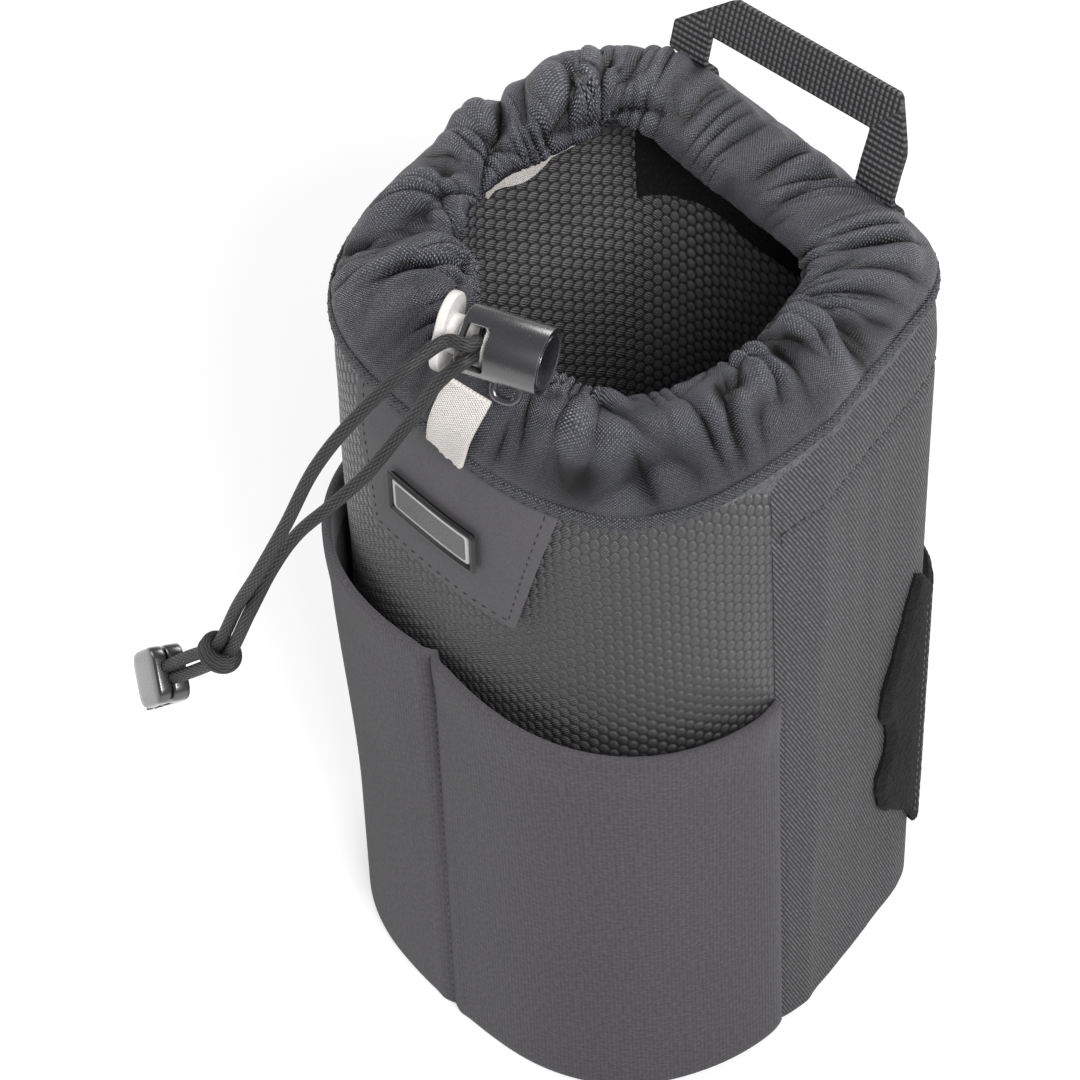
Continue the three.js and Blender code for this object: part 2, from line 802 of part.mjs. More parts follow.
function pocketOut(share, z) {
  const rise = smooth(pocketHeight * pocketRiseShare, pocketHeight, z);
  return gap + pocketStandoff * rimShape(share) * rise;
}

function pocketRimZ(share) {
  return pocketHeight - pocketRimSag * rimShape(share);
}

function addPocket() {
  const trim = seamSlit * 2;
  const from = (v) => -rightSeam(v * (pocketHeight / bodyHeight)) + trim;
  const to = (v) => rightSeam(v * (pocketHeight / bodyHeight)) - trim;
  addPiece('pocket_panel', wallPanel({
    from,
    to,
    low: () => pocketBottomLift,
    high: (share) => pocketRimZ(share) - pocketRimWidth / 2,
    innerOut: (share, z) => pocketOut(share, z),
    outerOut: (share, z) => pocketOut(share, z) + pocketThickness,
    columns: 44,
    rows: 8,
  }), 'stretch');
  const sides = 8;
  const columns = 44;
  const places = [];
  for (let i = 0; i <= columns; i += 1) {
    const share = mix(from(1), to(1), i / columns);
    const z = pocketRimZ(share) + gap;
    const lift = z + pocketRimWidth / 2;
    const out = pocketOut(share, pocketHeight) + pocketRimThickness / 2;
    for (let k = 0; k < sides; k += 1) {
      const angle = (2 * Math.PI * k) / sides;
      const spot = onBody(share, z, out + (Math.cos(angle) * pocketRimThickness) / 2);
      places.push(spot.x, spot.y, z + (Math.sin(angle) * (lift - z)));
    }
  }
  const faces = [];
  for (let i = 0; i < columns; i += 1) {
    for (let k = 0; k < sides; k += 1) {
      const next = (k + 1) % sides;
      const a = i * sides + k;
      const b = (i + 1) * sides + k;
      const c = (i + 1) * sides + next;
      const d = i * sides + next;
      faces.push(a, b, c, a, c, d);
    }
  }
  for (let k = 1; k < sides - 1; k += 1) {
    faces.push(0, k, k + 1);
    faces.push(columns * sides, columns * sides + k + 1, columns * sides + k);
  }
  const rim = new THREE.BufferGeometry();
  rim.setAttribute('position', new THREE.Float32BufferAttribute(places, 3));
  rim.setIndex(faces);
  addPiece('pocket_rim', rim, 'stretch');
}

// A plate laid on the body: its half height at each place across comes from a function
function bentPlate(centreX, centreZ, halfWidth, halfHeightAt, inner, outer, columns) {
  const place = (u, v, out) => {
    const side = -Math.cos(Math.PI * u);
    const across = side * halfWidth;
    const z = centreZ + (2 * v - 1) * halfHeightAt(Math.abs(across));
    return onBody((centreX + across) / bodyPlan.total, z, out);
  };
  return gridSolid(columns, 1, false, (u, v) => place(u, v, outer), (u, v) => place(u, v, inner));
}

function cornered(halfWidth, halfHeight, corner) {
  return (across) => {
    const past = across - (halfWidth - corner);
    if (past <= 0) return halfHeight;
    return halfHeight - corner + Math.sqrt(Math.max(0, corner ** 2 - Math.min(corner, past) ** 2));
  };
}

function addPatchAndBadge() {
  const inner = gap;
  const outer = inner + patchThickness;
  const place = (u, v, out) => {
    const left = -mix(patchLeftBottom, patchLeftTop, v);
    const right = mix(patchRightBottom, patchRightTop, v);
    const share = mix(left, right, u) / bodyPlan.total;
    const z = mix(patchBottom, seamAt(share) - patchTopDrop, v);
    return onBody(share, z, out);
  };
  addPiece('leather_patch', gridSolid(
    24,
    5,
    false,
    (u, v) => place(u, v, outer),
    (u, v) => place(u, v, inner),
  ), 'smooth');
  const seat = outer + gap;
  const frame = toSolid(bentPlate(
    badgeCentreX,
    badgeCentreZ,
    badgeHalfWidth,
    cornered(badgeHalfWidth, badgeHalfHeight, badgeCorner),
    seat,
    seat + badgeFrameThickness,
    24,
  ));
  const holeHalfWidth = badgeHalfWidth - badgeRimWidth;
  const holeHalfHeight = badgeHalfHeight - badgeRimWidth;
  const hole = toSolid(bentPlate(
    badgeCentreX,
    badgeCentreZ,
    holeHalfWidth,
    cornered(holeHalfWidth, holeHalfHeight, holeHalfHeight * badgePlateCornerShare),
    seat - cutOverrun,
    seat + badgeFrameThickness + cutOverrun,
    24,
  ));
  addPiece('badge_frame', toGeometry(frame.subtract(hole)), 'rubber');
  const plateHalfWidth = holeHalfWidth - gap;
  const plateHalfHeight = holeHalfHeight - gap;
  addPiece('badge_plate', bentPlate(
    badgeCentreX,
    badgeCentreZ,
    plateHalfWidth,
    cornered(plateHalfWidth, plateHalfHeight, plateHalfHeight * badgePlateCornerShare),
    seat,
    seat + badgePlateThickness,
    24,
  ), 'plate');
}

// A round bar along the lock's X from start to end
function lockRod(radius, start, end, sides) {
  return new THREE.CylinderGeometry(radius, radius, end - start, sides)
    .rotateZ(Math.PI / 2)
    .translate((start + end) / 2, 0, 0);
}

function lockBarrelProfile() {
  const half = barrelLength / 2;
  const points = [
    [0, -half],
    [barrelRadius - barrelChamfer, -half],
    [barrelRadius, -half + barrelChamfer],
    [barrelRadius, half - barrelChamfer],
    [barrelRadius - barrelChamfer, half],
    [0, half],
  ];
  const lathe = points.map(([x, y]) => new THREE.Vector2(x, y));
  return new THREE.LatheGeometry(lathe, 40).rotateZ(-Math.PI / 2);
}

function addCordLock() {
  const half = barrelLength / 2;
  const boreDepth = barrelLength - barrelEndWall;
  let barrel = toSolid(lockBarrelProfile());
  const bore = lockRod(barrelBoreRadius, -half - cutOverrun, -half + boreDepth, 36);
  barrel = barrel.subtract(toSolid(bore));
  const slot = new THREE.BoxGeometry(slotWidth, barrelRadius * 2 + cutOverrun * 2, slotSpan);
  slot.translate(-slotOffset, 0, 0);
  barrel = barrel.subtract(toSolid(slot));
  const recess = lockRod(discRadius + gap, half - discRecess, half + cutOverrun, 36);
  barrel = barrel.subtract(toSolid(recess));
  const bail = [
    new THREE.Vector3(-bailHalfWidth, 0, barrelRadius - bailWireRadius),
    new THREE.Vector3(-bailHalfWidth, 0, barrelRadius + bailReach * 0.6),
    new THREE.Vector3(-bailHalfWidth * 0.6, 0, barrelRadius + bailReach),
    new THREE.Vector3(bailHalfWidth * 0.6, 0, barrelRadius + bailReach),
    new THREE.Vector3(bailHalfWidth, 0, barrelRadius + bailReach * 0.6),
    new THREE.Vector3(bailHalfWidth, 0, barrelRadius - bailWireRadius),
  ];
  const hoop = tube(bail, bailWireRadius, 20, 8).translate(bailShift, 0, 0);
  barrel = barrel.add(toSolid(hoop));
  addPiece('lock_barrel', toGeometry(barrel).applyMatrix4(lockFrame), 'hard');
  const discStart = half - discRecess + gap;
  addPiece('lock_end_disc', lockRod(discRadius, discStart, discStart + discThickness, 36)
    .applyMatrix4(lockFrame), 'hard');

  // At rest the spring has the plunger out, so its hole stands off from the slot
  const stemRadius = barrelBoreRadius - plungerClearance;
  const stemStart = -half + gap;
  let plunger = toSolid(lockRod(stemRadius, stemStart, stemStart + plungerStemLength, 36));
  const hole = new THREE.BoxGeometry(plungerHoleWidth, barrelRadius * 3, plungerHoleSpan);
  hole.translate(-slotOffset - plungerTravel * 0.3, 0, 0);
  plunger = plunger.subtract(toSolid(hole));
  const buttonStart = -half - plungerTravel - plungerButtonThickness;
  const neckStart = buttonStart + plungerButtonThickness / 2;
  plunger = plunger.add(toSolid(lockRod(plungerNeckRadius, neckStart, stemStart + gap, 28)));
  const buttonShape = roundedRect(
    plungerButtonHalfHeight,
    plungerButtonHalfWidth,
    plungerButtonHalfWidth * badgePlateCornerShare,
  );
  const button = new THREE.ExtrudeGeometry(buttonShape, {
    depth: plungerButtonThickness,
    bevelEnabled: false,
    curveSegments: 8,
  });
  button.rotateY(Math.PI / 2).translate(buttonStart, 0, 0);
  plunger = plunger.add(toSolid(button));
  addPiece('lock_plunger', toGeometry(plunger).applyMatrix4(lockFrame), 'pale');

  const springStart = stemStart + plungerStemLength + gap + springWireRadius;
  const springEnd = -half + boreDepth - gap - springWireRadius;
  const coil = [];
  const coilSteps = 40;
  for (let i = 0; i <= coilSteps; i += 1) {
    const share = i / coilSteps;
    const angle = 2 * Math.PI * springTurns * share;
    coil.push(new THREE.Vector3(
      mix(springStart, springEnd, share),
      springMeanRadius * Math.cos(angle),
      springMeanRadius * Math.sin(angle),
    ));
  }
  addPiece('lock_spring', tube(coil, springWireRadius, 64, 6).applyMatrix4(lockFrame), 'steel');
}

function addTether() {
  const hoopEnd = inLock(
    bailShift + bailHalfWidth - tetherWidth / 2,
    0,
    barrelRadius + bailReach + bailWireRadius + gap + tetherThickness,
  );
  const seam = seamAt(0);
  const out = gap + collarEase + collarThickness + gap + tetherThickness / 2;
  const onFront = (x, z, lift) => onBody(x / bodyPlan.total, z, lift);
  const route = new THREE.CatmullRomCurve3([
    onFront(tetherFootX, seam + tetherFootRise, out - tetherFootInset),
    onFront(tetherKneeX, seam + tetherKneeRise, out - tetherKneeInset),
    hoopEnd,
  ]);
  const centres = route.getPoints(14);
  const wide = centres.map((_, i) => {
    const share = i / (centres.length - 1);
    return new THREE.Vector3(-1, 0, 0).lerp(lockAlong.clone().negate(), share);
  });
  addPiece('lock_tether', ribbon(centres, wide, tetherWidth, tetherThickness), 'tape');
}

function knotPlaces() {
  const knot = new THREE.Vector3(knotX, knotY, knotZ);
  const clip = new THREE.Vector3(cordEndX, cordEndY, cordEndZ);
  const along = clip.clone().sub(knot).normalize();
  const across = new THREE.Vector3().crossVectors(along, new THREE.Vector3(0, 1, 0)).normalize();
  const deep = new THREE.Vector3().crossVectors(along, across).normalize();
  return { knot, clip, along, across, deep };
}

function addCords() {
  const { knot, clip, along, across, deep } = knotPlaces();
  const stemFace = barrelBoreRadius + gap;
  const strands = [
    { name: 'cord_strand_a', side: -1, route: strandRouteA },
    { name: 'cord_strand_b', side: 1, route: strandRouteB },
  ];
  for (const { name, side, route } of strands) {
    const points = [
      inLock(-slotOffset, stemFace, side * (cordPitch / 2)),
      inLock(-slotOffset, barrelRadius + cordRadius * 2, side * (cordPitch / 2)),
      ...route.map(([x, y, z]) => new THREE.Vector3(x, y, z).add(lockCentre)),
    ];
    const shoulder = knot.clone()
      .addScaledVector(along, -knotSeat)
      .addScaledVector(across, side * knotTailOffset);
    points.push(shoulder.clone().addScaledVector(along, -knotRadius));
    points.push(shoulder);
    addPiece(name, tube(points, cordRadius, 38, 8), 'cord');
  }

  const turnKnot = new THREE.Matrix4().makeBasis(along, across, deep).setPosition(knot);
  let lump = toSolid(new THREE.SphereGeometry(knotRadius - knotWrapRadius / 2, 16, 10));
  const wraps = [-1, 1];
  for (const side of wraps) {
    const wrap = new THREE.TorusGeometry(knotRadius - knotWrapRadius, knotWrapRadius, 8, 18);
    wrap.rotateY(Math.PI / 2 + side * 0.45);
    wrap.translate(side * knotWrapRadius, 0, 0);
    lump = lump.add(toSolid(wrap));
  }
  addPiece('cord_knot', toGeometry(lump).applyMatrix4(turnKnot), 'cord');

  const clipReach = cordEndLength / 2 + gap * 2;
  for (const side of [-1, 1]) {
    const start = knot.clone()
      .addScaledVector(along, knotSeat)
      .addScaledVector(across, side * knotTailOffset);
    const end = clip.clone()
      .addScaledVector(along, -clipReach)
      .addScaledVector(across, side * knotTailOffset);
    const middle = start.clone().lerp(end, 0.5).addScaledVector(across, side * cordRadius * 0.8);
    const name = side < 0 ? 'cord_tail_a' : 'cord_tail_b';
    addPiece(name, tube([start, middle, end], cordRadius, 8, 8), 'cord');
  }

  const clipFrame = new THREE.Matrix4().makeBasis(along, across, deep);
  clipFrame.multiply(new THREE.Matrix4().makeRotationX(THREE.MathUtils.degToRad(cordEndRoll)));
  clipFrame.setPosition(clip);
  const outline = roundedRect(cordEndLength / 2 - cordEndBevel, cordEndWidth / 2 - cordEndBevel, cordEndCorner);
  const half = (depth, flip) => {
    const solid = new THREE.ExtrudeGeometry(outline, {
      depth: depth - cordEndBevel,
      bevelSize: cordEndBevel,
      bevelThickness: cordEndBevel,
      bevelSegments: 2,
      curveSegments: 5,
    });
    const trimmed = toSolid(solid.translate(0, 0, gap / 2));
    const block = new THREE.BoxGeometry(cordEndLength * 2, cordEndWidth * 2, depth * 4);
    block.translate(0, 0, gap / 2 - depth * 2);
    const cut = trimmed.subtract(toSolid(block));
    const shape = toGeometry(cut);
    return flip ? shape.rotateX(Math.PI) : shape;
  };
  const pinX = cordEndLength / 2 + cordEndKnuckleRadius + gap;
  const pin = lockRod(cordEndPinRadius, -cordEndWidth / 2, cordEndWidth / 2, 16).rotateZ(Math.PI / 2);
  pin.translate(pinX, 0, 0);
  const ear = (centre, width, depth) => {
    const reach = cordEndKnuckleRadius * 2 + gap;
    const arm = new THREE.BoxGeometry(reach, width, cordEndPinRadius * 2);
    return arm.translate(pinX - reach / 2 + cordEndPinRadius * 0.9, centre, depth);
  };
  const earY = cordEndWidth / 2 - cordEndEarWidth / 2;
  let base = toSolid(half(cordEndDepth, true));
  base = base.add(toSolid(pin));
  for (const side of [-1, 1]) {
    base = base.add(toSolid(ear(side * earY, cordEndEarWidth, -cordEndPinRadius)));
  }
  addPiece('cord_end_base', toGeometry(base).applyMatrix4(clipFrame), 'hard');
  const knuckle = lockRod(cordEndKnuckleRadius, -cordEndEarWidth * 1.2, cordEndEarWidth * 1.2, 20)
    .rotateZ(Math.PI / 2)
    .translate(pinX, 0, 0);
  const eye = lockRod(cordEndPinRadius + gap / 2, -cordEndWidth, cordEndWidth, 16)
    .rotateZ(Math.PI / 2)
    .translate(pinX, 0, 0);
  const tongue = ear(0, cordEndEarWidth * 2.4, cordEndPinRadius + gap / 2);
  let lid = toSolid(half(cordEndLidDepth, false)).add(toSolid(knuckle)).add(toSolid(tongue));
  lid = lid.subtract(toSolid(eye));
  addPiece('cord_end_lid', toGeometry(lid).applyMatrix4(clipFrame), 'hard');
}

function addHandle() {
  const standoff = bandFace + gap + handleThickness / 2;
  const hingeY = onBody(0.5, handleHingeZ, standoff).y;
  const tilt = THREE.MathUtils.degToRad(handleLean);
  const flat = new THREE.Vector3(1, 0, 0);
  const upward = new THREE.Vector3(0, Math.sin(tilt), Math.cos(tilt));
  const half = handleHalfSpan;
  const centres = [];
  const wide = [];
  // The loop stands in one plane that leans back, and its right side is the longer one
  const push = (x, rise, direction, back = 0) => {
    const place = new THREE.Vector3(handleCentreX + x, hingeY - handleSetIn, handleHingeZ);
    centres.push(place.addScaledVector(upward, rise).add(new THREE.Vector3(0, back, 0)));
    wide.push(direction.clone());
  };
  const topAt = (x) => handleReach + (handleSlope * x) / half;
  const bendSteps = 5;
  const cornerSteps = 6;
  const side = (direction) => {
    const steps = [];
    const shoulder = topAt(direction * half) - handleCornerRun;
    const outward = flat.clone().multiplyScalar(direction);
    // The lower end of each leg lies back over the collar to the seam
    for (let i = 0; i <= bendSteps; i += 1) {
      const share = i / bendSteps;
      steps.push([direction * half, handleBendRise * share, outward, handleSetIn * (1 - share) ** 1.25]);
    }
    steps.push([direction * half, shoulder, outward]);
    for (let i = 1; i <= cornerSteps; i += 1) {
      const share = i / (cornerSteps + 1);
      const angle = (Math.PI / 2) * share;
      const x = half - handleCornerRun * (1 - Math.cos(angle));
      const rise = mix(shoulder, topAt(direction * x), Math.sin(angle));
      steps.push([direction * x, rise, outward.clone().lerp(upward, smooth(0, 1, share))]);
    }
    return direction < 0 ? steps : steps.reverse();
  };
  side(-1).forEach((step) => push(...step));
  const topSteps = 6;
  for (let i = 0; i <= topSteps; i += 1) {
    const x = mix(-half + handleCornerRun, half - handleCornerRun, i / topSteps);
    push(x, topAt(x), upward);
  }
  side(1).forEach((step) => push(...step));
  // The loop's lower ends are round, so they turn over the sewn feet
  let loop = toSolid(ribbon(centres, wide, handleWidth, handleThickness));
  const footTop = handleHingeZ - handleThickness / 2 - gap;
  const footY = onBody(0.5, handleFootZ, standoff).y;
  for (const side of [-1, 1]) {
    const round = new THREE.CylinderGeometry(handleThickness / 2, handleThickness / 2, handleWidth, 16);
    round.rotateZ(Math.PI / 2).translate(handleCentreX + side * half, hingeY, handleHingeZ);
    loop = loop.add(toSolid(round));
    const foot = new THREE.BoxGeometry(handleWidth, handleThickness, footTop - handleFootZ);
    foot.translate(handleCentreX + side * half, footY, (footTop + handleFootZ) / 2);
    addPiece(side < 0 ? 'handle_foot_left' : 'handle_foot_right', foot, 'webbing');
  }
  addPiece('handle', toGeometry(loop), 'webbing');
  for (const side of [-1, 1]) {
    const tack = new THREE.BoxGeometry(handleWidth, handleTackThickness, handleTackHeight);
    const place = onBody(0.5, handleFootZ + handleTackDrop, standoff);
    const y = place.y + handleThickness / 2 + gap + handleTackThickness / 2;
    tack.translate(handleCentreX + side * half, y, handleFootZ + handleTackDrop);
    addPiece(side < 0 ? 'handle_tack_left' : 'handle_tack_right', tack, 'webbing');
  }
}

function addBeltAttachment() {
  const padSpan = shareAtDepth(bodyBackDepth - padReach);
  const inner = gap;
  const outer = inner + padThickness;
  const wrap = toSolid(wallPanel({
    from: () => padSpan,
    to: () => 1 - padSpan,
    low: () => padBottom - cutOverrun,
    high: () => padTop + cutOverrun,
    innerOut: straightUp(inner),
    outerOut: straightUp(outer),
    columns: 36,
    rows: 1,
  }));
  const reach = bodyBackDepth + bodyLean;
  const outline = padOutlineShares.map(([forward, up]) => new THREE.Vector2(
    bodyBackDepth - padReach * forward,
    mix(padBottom, padTop, up),
  ));
  const blade = new THREE.ExtrudeGeometry(new THREE.Shape(outline), { depth: reach * 4, bevelEnabled: false });
  blade.translate(0, 0, -reach * 2);
  const upright = new THREE.Matrix4().makeBasis(
    new THREE.Vector3(0, 1, 0),
    new THREE.Vector3(0, 0, 1),
    new THREE.Vector3(1, 0, 0),
  );
  blade.applyMatrix4(upright);
  addPiece('back_pad', toGeometry(wrap.intersect(toSolid(blade))), 'loop');

  const middleZ = (flapTop + flapBottom) / 2;
  const halfHeight = (flapTop - flapBottom) / 2;
  const coreShape = roundedRect(
    flapHalfWidth - flapBindingWidth,
    halfHeight - flapBindingWidth,
    flapCorner - flapBindingWidth / 2,
  );
  const core = uprightPlate(coreShape, flapThickness, flapY);
  addPiece('belt_flap', core.translate(0, 0, middleZ), 'loop');
  const frameShape = roundedRect(flapHalfWidth, halfHeight, flapCorner);
  const hole = roundedRect(
    flapHalfWidth - flapBindingWidth + gap,
    halfHeight - flapBindingWidth + gap,
    flapCorner - flapBindingWidth / 2,
  );
  frameShape.holes.push(new THREE.Path(hole.getPoints(8)));
  const edge = uprightPlate(frameShape, flapBindingThickness, flapY - (flapBindingThickness - flapThickness) / 2);
  addPiece('flap_binding', edge.translate(0, 0, middleZ), 'webbing');
  const stripZ = flapBottom + flapBindingWidth + hookStripLift;
  const stripY = flapY - gap - hookStripThickness;
  const strip = new THREE.BoxGeometry(hookStripHalfWidth * 2, hookStripThickness, hookStripHeight);
  strip.translate(0, stripY + hookStripThickness / 2, stripZ + hookStripHeight / 2);
  addPiece('flap_hook_strip', strip, 'rubber');
  const padFace = onBody(0.5, stripZ, outer + gap).y;
  const landing = new THREE.BoxGeometry(
    (hookStripHalfWidth + landingPadMargin) * 2,
    stripY - gap - padFace,
    hookStripHeight + landingPadMargin * 2,
  );
  landing.translate(0, (stripY - gap + padFace) / 2, stripZ + hookStripHeight / 2);
  addPiece('landing_strip', landing, 'loop');
  const barFace = onBody(0.5, flapTop, outer + gap).y;
  const barDepth = flapY + flapThickness - barFace;
  const bar = new THREE.BoxGeometry(flapBarHalfWidth * 2, barDepth, flapBarHeight);
  bar.translate(0, barFace + barDepth / 2, flapTop + gap + flapBarHeight / 2);
  addPiece('flap_top_bar', bar, 'webbing');
}

addBodyShells();
addCollar();
addDrawcord();
addPocket();
addPatchAndBadge();
addCordLock();
addTether();
addCords();
addHandle();
addBeltAttachment();

export default rig;
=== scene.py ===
"""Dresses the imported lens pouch: cloth, padding, cords, moulded parts, studio and camera."""

import logging
import math
from dataclasses import dataclass
from enum import Enum
from functools import cached_property
from typing import Callable, Optional, Sequence, Union

import bpy
import numpy as np
from mathutils import Matrix, Vector
from mathutils.kdtree import KDTree


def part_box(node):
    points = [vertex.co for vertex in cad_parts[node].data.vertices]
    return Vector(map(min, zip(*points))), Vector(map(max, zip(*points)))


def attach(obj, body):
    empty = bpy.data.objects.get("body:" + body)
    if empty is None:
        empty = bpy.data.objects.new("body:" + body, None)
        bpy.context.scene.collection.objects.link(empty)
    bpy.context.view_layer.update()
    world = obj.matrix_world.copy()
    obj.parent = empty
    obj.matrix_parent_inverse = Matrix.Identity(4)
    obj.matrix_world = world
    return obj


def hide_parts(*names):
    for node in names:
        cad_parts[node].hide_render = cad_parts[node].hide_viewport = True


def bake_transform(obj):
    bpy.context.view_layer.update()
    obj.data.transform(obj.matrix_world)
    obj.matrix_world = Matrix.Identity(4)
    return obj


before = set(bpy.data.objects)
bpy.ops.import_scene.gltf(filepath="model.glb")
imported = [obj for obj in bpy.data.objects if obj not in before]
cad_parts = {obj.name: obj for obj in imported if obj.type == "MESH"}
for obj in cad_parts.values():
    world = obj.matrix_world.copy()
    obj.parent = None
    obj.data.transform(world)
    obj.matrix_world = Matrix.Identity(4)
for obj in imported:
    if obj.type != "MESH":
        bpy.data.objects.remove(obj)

log = logging.getLogger("lens_pouch")
MM = 0.001
CLOTH_MAP = "cloth"
# Crease depth on the collar, which its finish turns into painted shade in the creases and a painted
# highlight on the crests.
FOLD_SHADE_HIGHLIGHT_MAP = "crease"
Array = np.ndarray
Number = Union[float, Array]
Place = Callable[[Array, Array], Array]
Colour = tuple[float, float, float]
Object = bpy.types.Object
Edge = Union[float, Callable[[Array], Array]]
Out = Callable[[Array, Array, Array, Array], Array]
Spot = tuple[float, float]
Route = tuple[tuple[float, float, float], ...]


# Shape of the pouch

def smooth(low: float, high: float, value: Number) -> Number:
    """Eases from 0 at low to 1 at high."""
    share = np.clip((value - low) / (high - low), 0, 1)
    return share * share * (3 - 2 * share)


def mix(a: Number, b: Number, share: Number) -> Number:
    """The value that lies this share of the way from a to b."""
    return a + (b - a) * share


def bump(value: Number, centre: float, spread: float) -> Number:
    """A soft hill of height 1 round centre."""
    return np.exp(-(((value - centre) / spread) ** 2))


def unit(vectors: Array) -> Array:
    """The vectors at length one."""
    return vectors / np.maximum(np.linalg.norm(vectors, axis=-1, keepdims=True), 1e-9)


def marks_along(path: Array) -> Array:
    """Distance along a path at each of its points."""
    return np.concatenate([[0], np.cumsum(np.linalg.norm(np.diff(path, axis=0), axis=1))])


def resample(path: Array, marks: Array, goals: Array) -> Array:
    """Places at the goals along a path whose points lie at the marks."""
    return np.stack([np.interp(goals, marks, path[:, k]) for k in range(path.shape[1])], 1)


class Waver:
    """Smooth random waves that close on themselves once round the pouch."""

    def __init__(self, seed: int, low: int, high: int) -> None:
        """Draws the waves.

        Args:
            seed: Seed of the draw.
            low: Fewest waves in one round.
            high: Most waves in one round.
        """
        draw = np.random.default_rng(seed)
        self.counts = np.arange(low, high + 1)
        self.sizes = draw.normal(size=len(self.counts)) / math.sqrt(len(self.counts))
        self.starts = draw.uniform(0, 2 * math.pi, len(self.counts))

    def at(self, share: Array, drift: Number = 0.0) -> Array:
        """The waves' height.

        Args:
            share: Place round the pouch, 0 to 1.
            drift: Moves each wave by this much of a turn.

        Returns:
            Heights, about minus one to one.
        """
        total = np.zeros_like(share, dtype=float)
        for count, size, start in zip(self.counts, self.sizes, self.starts):
            total += size * np.sin(2 * math.pi * (count * share + drift * (count % 3 - 1)) + start)
        return total


@dataclass(frozen=True)
class Plan:
    """An egg-shaped outline with a flat back, walked by its share of the whole length."""

    half_width: float
    front: float
    back: float
    back_half: float
    corner: float
    shift: tuple[float, float] = (0.0, 0.0)
    power: float = 0.7273
    steps: int = 720

    @cached_property
    def walked(self) -> tuple[Array, float]:
        """Evenly spaced points of the outline, and its length.

        Returns:
            The points, n by 2, and millimetres.
        """
        arc = np.linspace(0, math.pi / 2, 91)
        front = np.stack([
            self.half_width * np.sin(arc) ** self.power,
            -self.front * np.abs(np.cos(arc)) ** self.power,
        ], 1)
        draw_in = (self.half_width - self.back_half) * self.corner / self.back
        start = np.array([self.back_half + draw_in, self.back - self.corner])
        knee = np.array([self.back_half, self.back])
        end = np.array([self.back_half - self.corner, self.back])
        t = np.linspace(0, 1, 25)[:, None]
        corner = (1 - t) ** 2 * start + 2 * t * (1 - t) * knee + t ** 2 * end
        half = np.concatenate([front, corner, [[0, self.back]]])
        loop = np.concatenate([half, half[-2:0:-1] * [-1, 1], half[:1]]) + self.shift
        marks = marks_along(loop)
        return resample(loop, marks, marks[-1] * np.arange(self.steps) / self.steps), float(marks[-1])

    @property
    def length(self) -> float:
        """Length of the outline."""
        return self.walked[1]

    def at(self, share: Array) -> tuple[Array, Array]:
        """Place and outward direction.

        Args:
            share: Share of the walk, from the middle of the front to the right.

        Returns:
            Points and unit normals, each n by 2.
        """
        even = self.walked[0]
        place = (np.asarray(share, float) % 1) * self.steps
        low = np.floor(place).astype(int) % self.steps
        part = (place - np.floor(place))[..., None]
        spot = mix(even[low], even[(low + 1) % self.steps], part)
        along = unit(even[(low + 6) % self.steps] - even[(low - 5) % self.steps])
        return spot, np.stack([along[..., 1], -along[..., 0]], -1)


@dataclass(frozen=True)
class BodyForm:
    """The padded body's outer surface, in millimetres."""

    plan: Plan = Plan(60, 65, 56, 46, 18)
    height: float = 220
    lean: float = 4
    bottom_scale: float = 0.96
    seam_dip: float = 3.6
    seam_dip_angle: float = 48
    seam_dip_spread: float = 25
    seam_top_back: float = 17
    seam_bottom_back: float = 9.4
    pinch: float = 2.5
    back_pinch: float = 2.0
    pinch_from: float = 198

    def on(self, share: Array, z: Number, out: Number = 0.0) -> Array:
        """Places on the body.

        Args:
            share: Share of the walk round the body.
            z: Height.
            out: Distance out from the surface.

        Returns:
            Points, n by 3.
        """
        share = np.asarray(share, float)
        spot, normal = self.plan.at(share)
        rise = np.broadcast_to(np.asarray(z, float), share.shape) / self.height
        turn = share % 1
        back = smooth(0.36, 0.43, turn) * (1 - smooth(0.57, 0.64, turn))
        pull = self.pinch + self.back_pinch * back
        far = out - pull * smooth(self.pinch_from, self.height, rise * self.height)
        scale = mix(self.bottom_scale, 1.0, rise)
        return np.stack([
            spot[..., 0] * scale + normal[..., 0] * far,
            spot[..., 1] * scale + self.lean * (1 - rise) + normal[..., 1] * far,
            rise * self.height,
        ], -1)

    def seam(self, share: Array) -> Array:
        """Height of the collar seam at these shares."""
        angle = np.abs(np.degrees(np.arctan2(*(self.plan.at(share)[0] * [1, -1]).T)))
        return self.height - self.seam_dip * bump(angle, self.seam_dip_angle, self.seam_dip_spread)

    def share_at_depth(self, y: float) -> float:
        """Share of the walk at which the right side lies this far back.

        Args:
            y: How far back.

        Returns:
            The share, 0 to 0.5.
        """
        even = self.plan.walked[0][: self.plan.steps // 2]
        here = int(np.argmax(even[1:, 1] > y)) + 1
        before = even[here - 1]
        return (here - 1 + (y - before[1]) / (even[here][1] - before[1])) / self.plan.steps

    def side_seam(self, z: Number) -> Number:
        """Share of the seam between front and right side.

        Args:
            z: Height.

        Returns:
            The share at that height.
        """
        low = self.share_at_depth(-self.seam_bottom_back)
        high = self.share_at_depth(-self.seam_top_back)
        return mix(low, high, np.asarray(z, float) / self.height)

    @cached_property
    def corner_share(self) -> float:
        """Share of the right back corner's seam."""
        return self.share_at_depth(self.plan.back - self.plan.corner * 0.3)

    def over(self, across: Number) -> Number:
        """Share of a place this many millimetres right of the front's middle."""
        return across / self.plan.length


BODY = BodyForm()


# Mesh work

def deselect() -> None:
    """Leaves edit mode and deselects all."""
    if bpy.context.object and bpy.context.object.mode != "OBJECT":
        bpy.ops.object.mode_set(mode="OBJECT")
    bpy.ops.object.select_all(action="DESELECT")


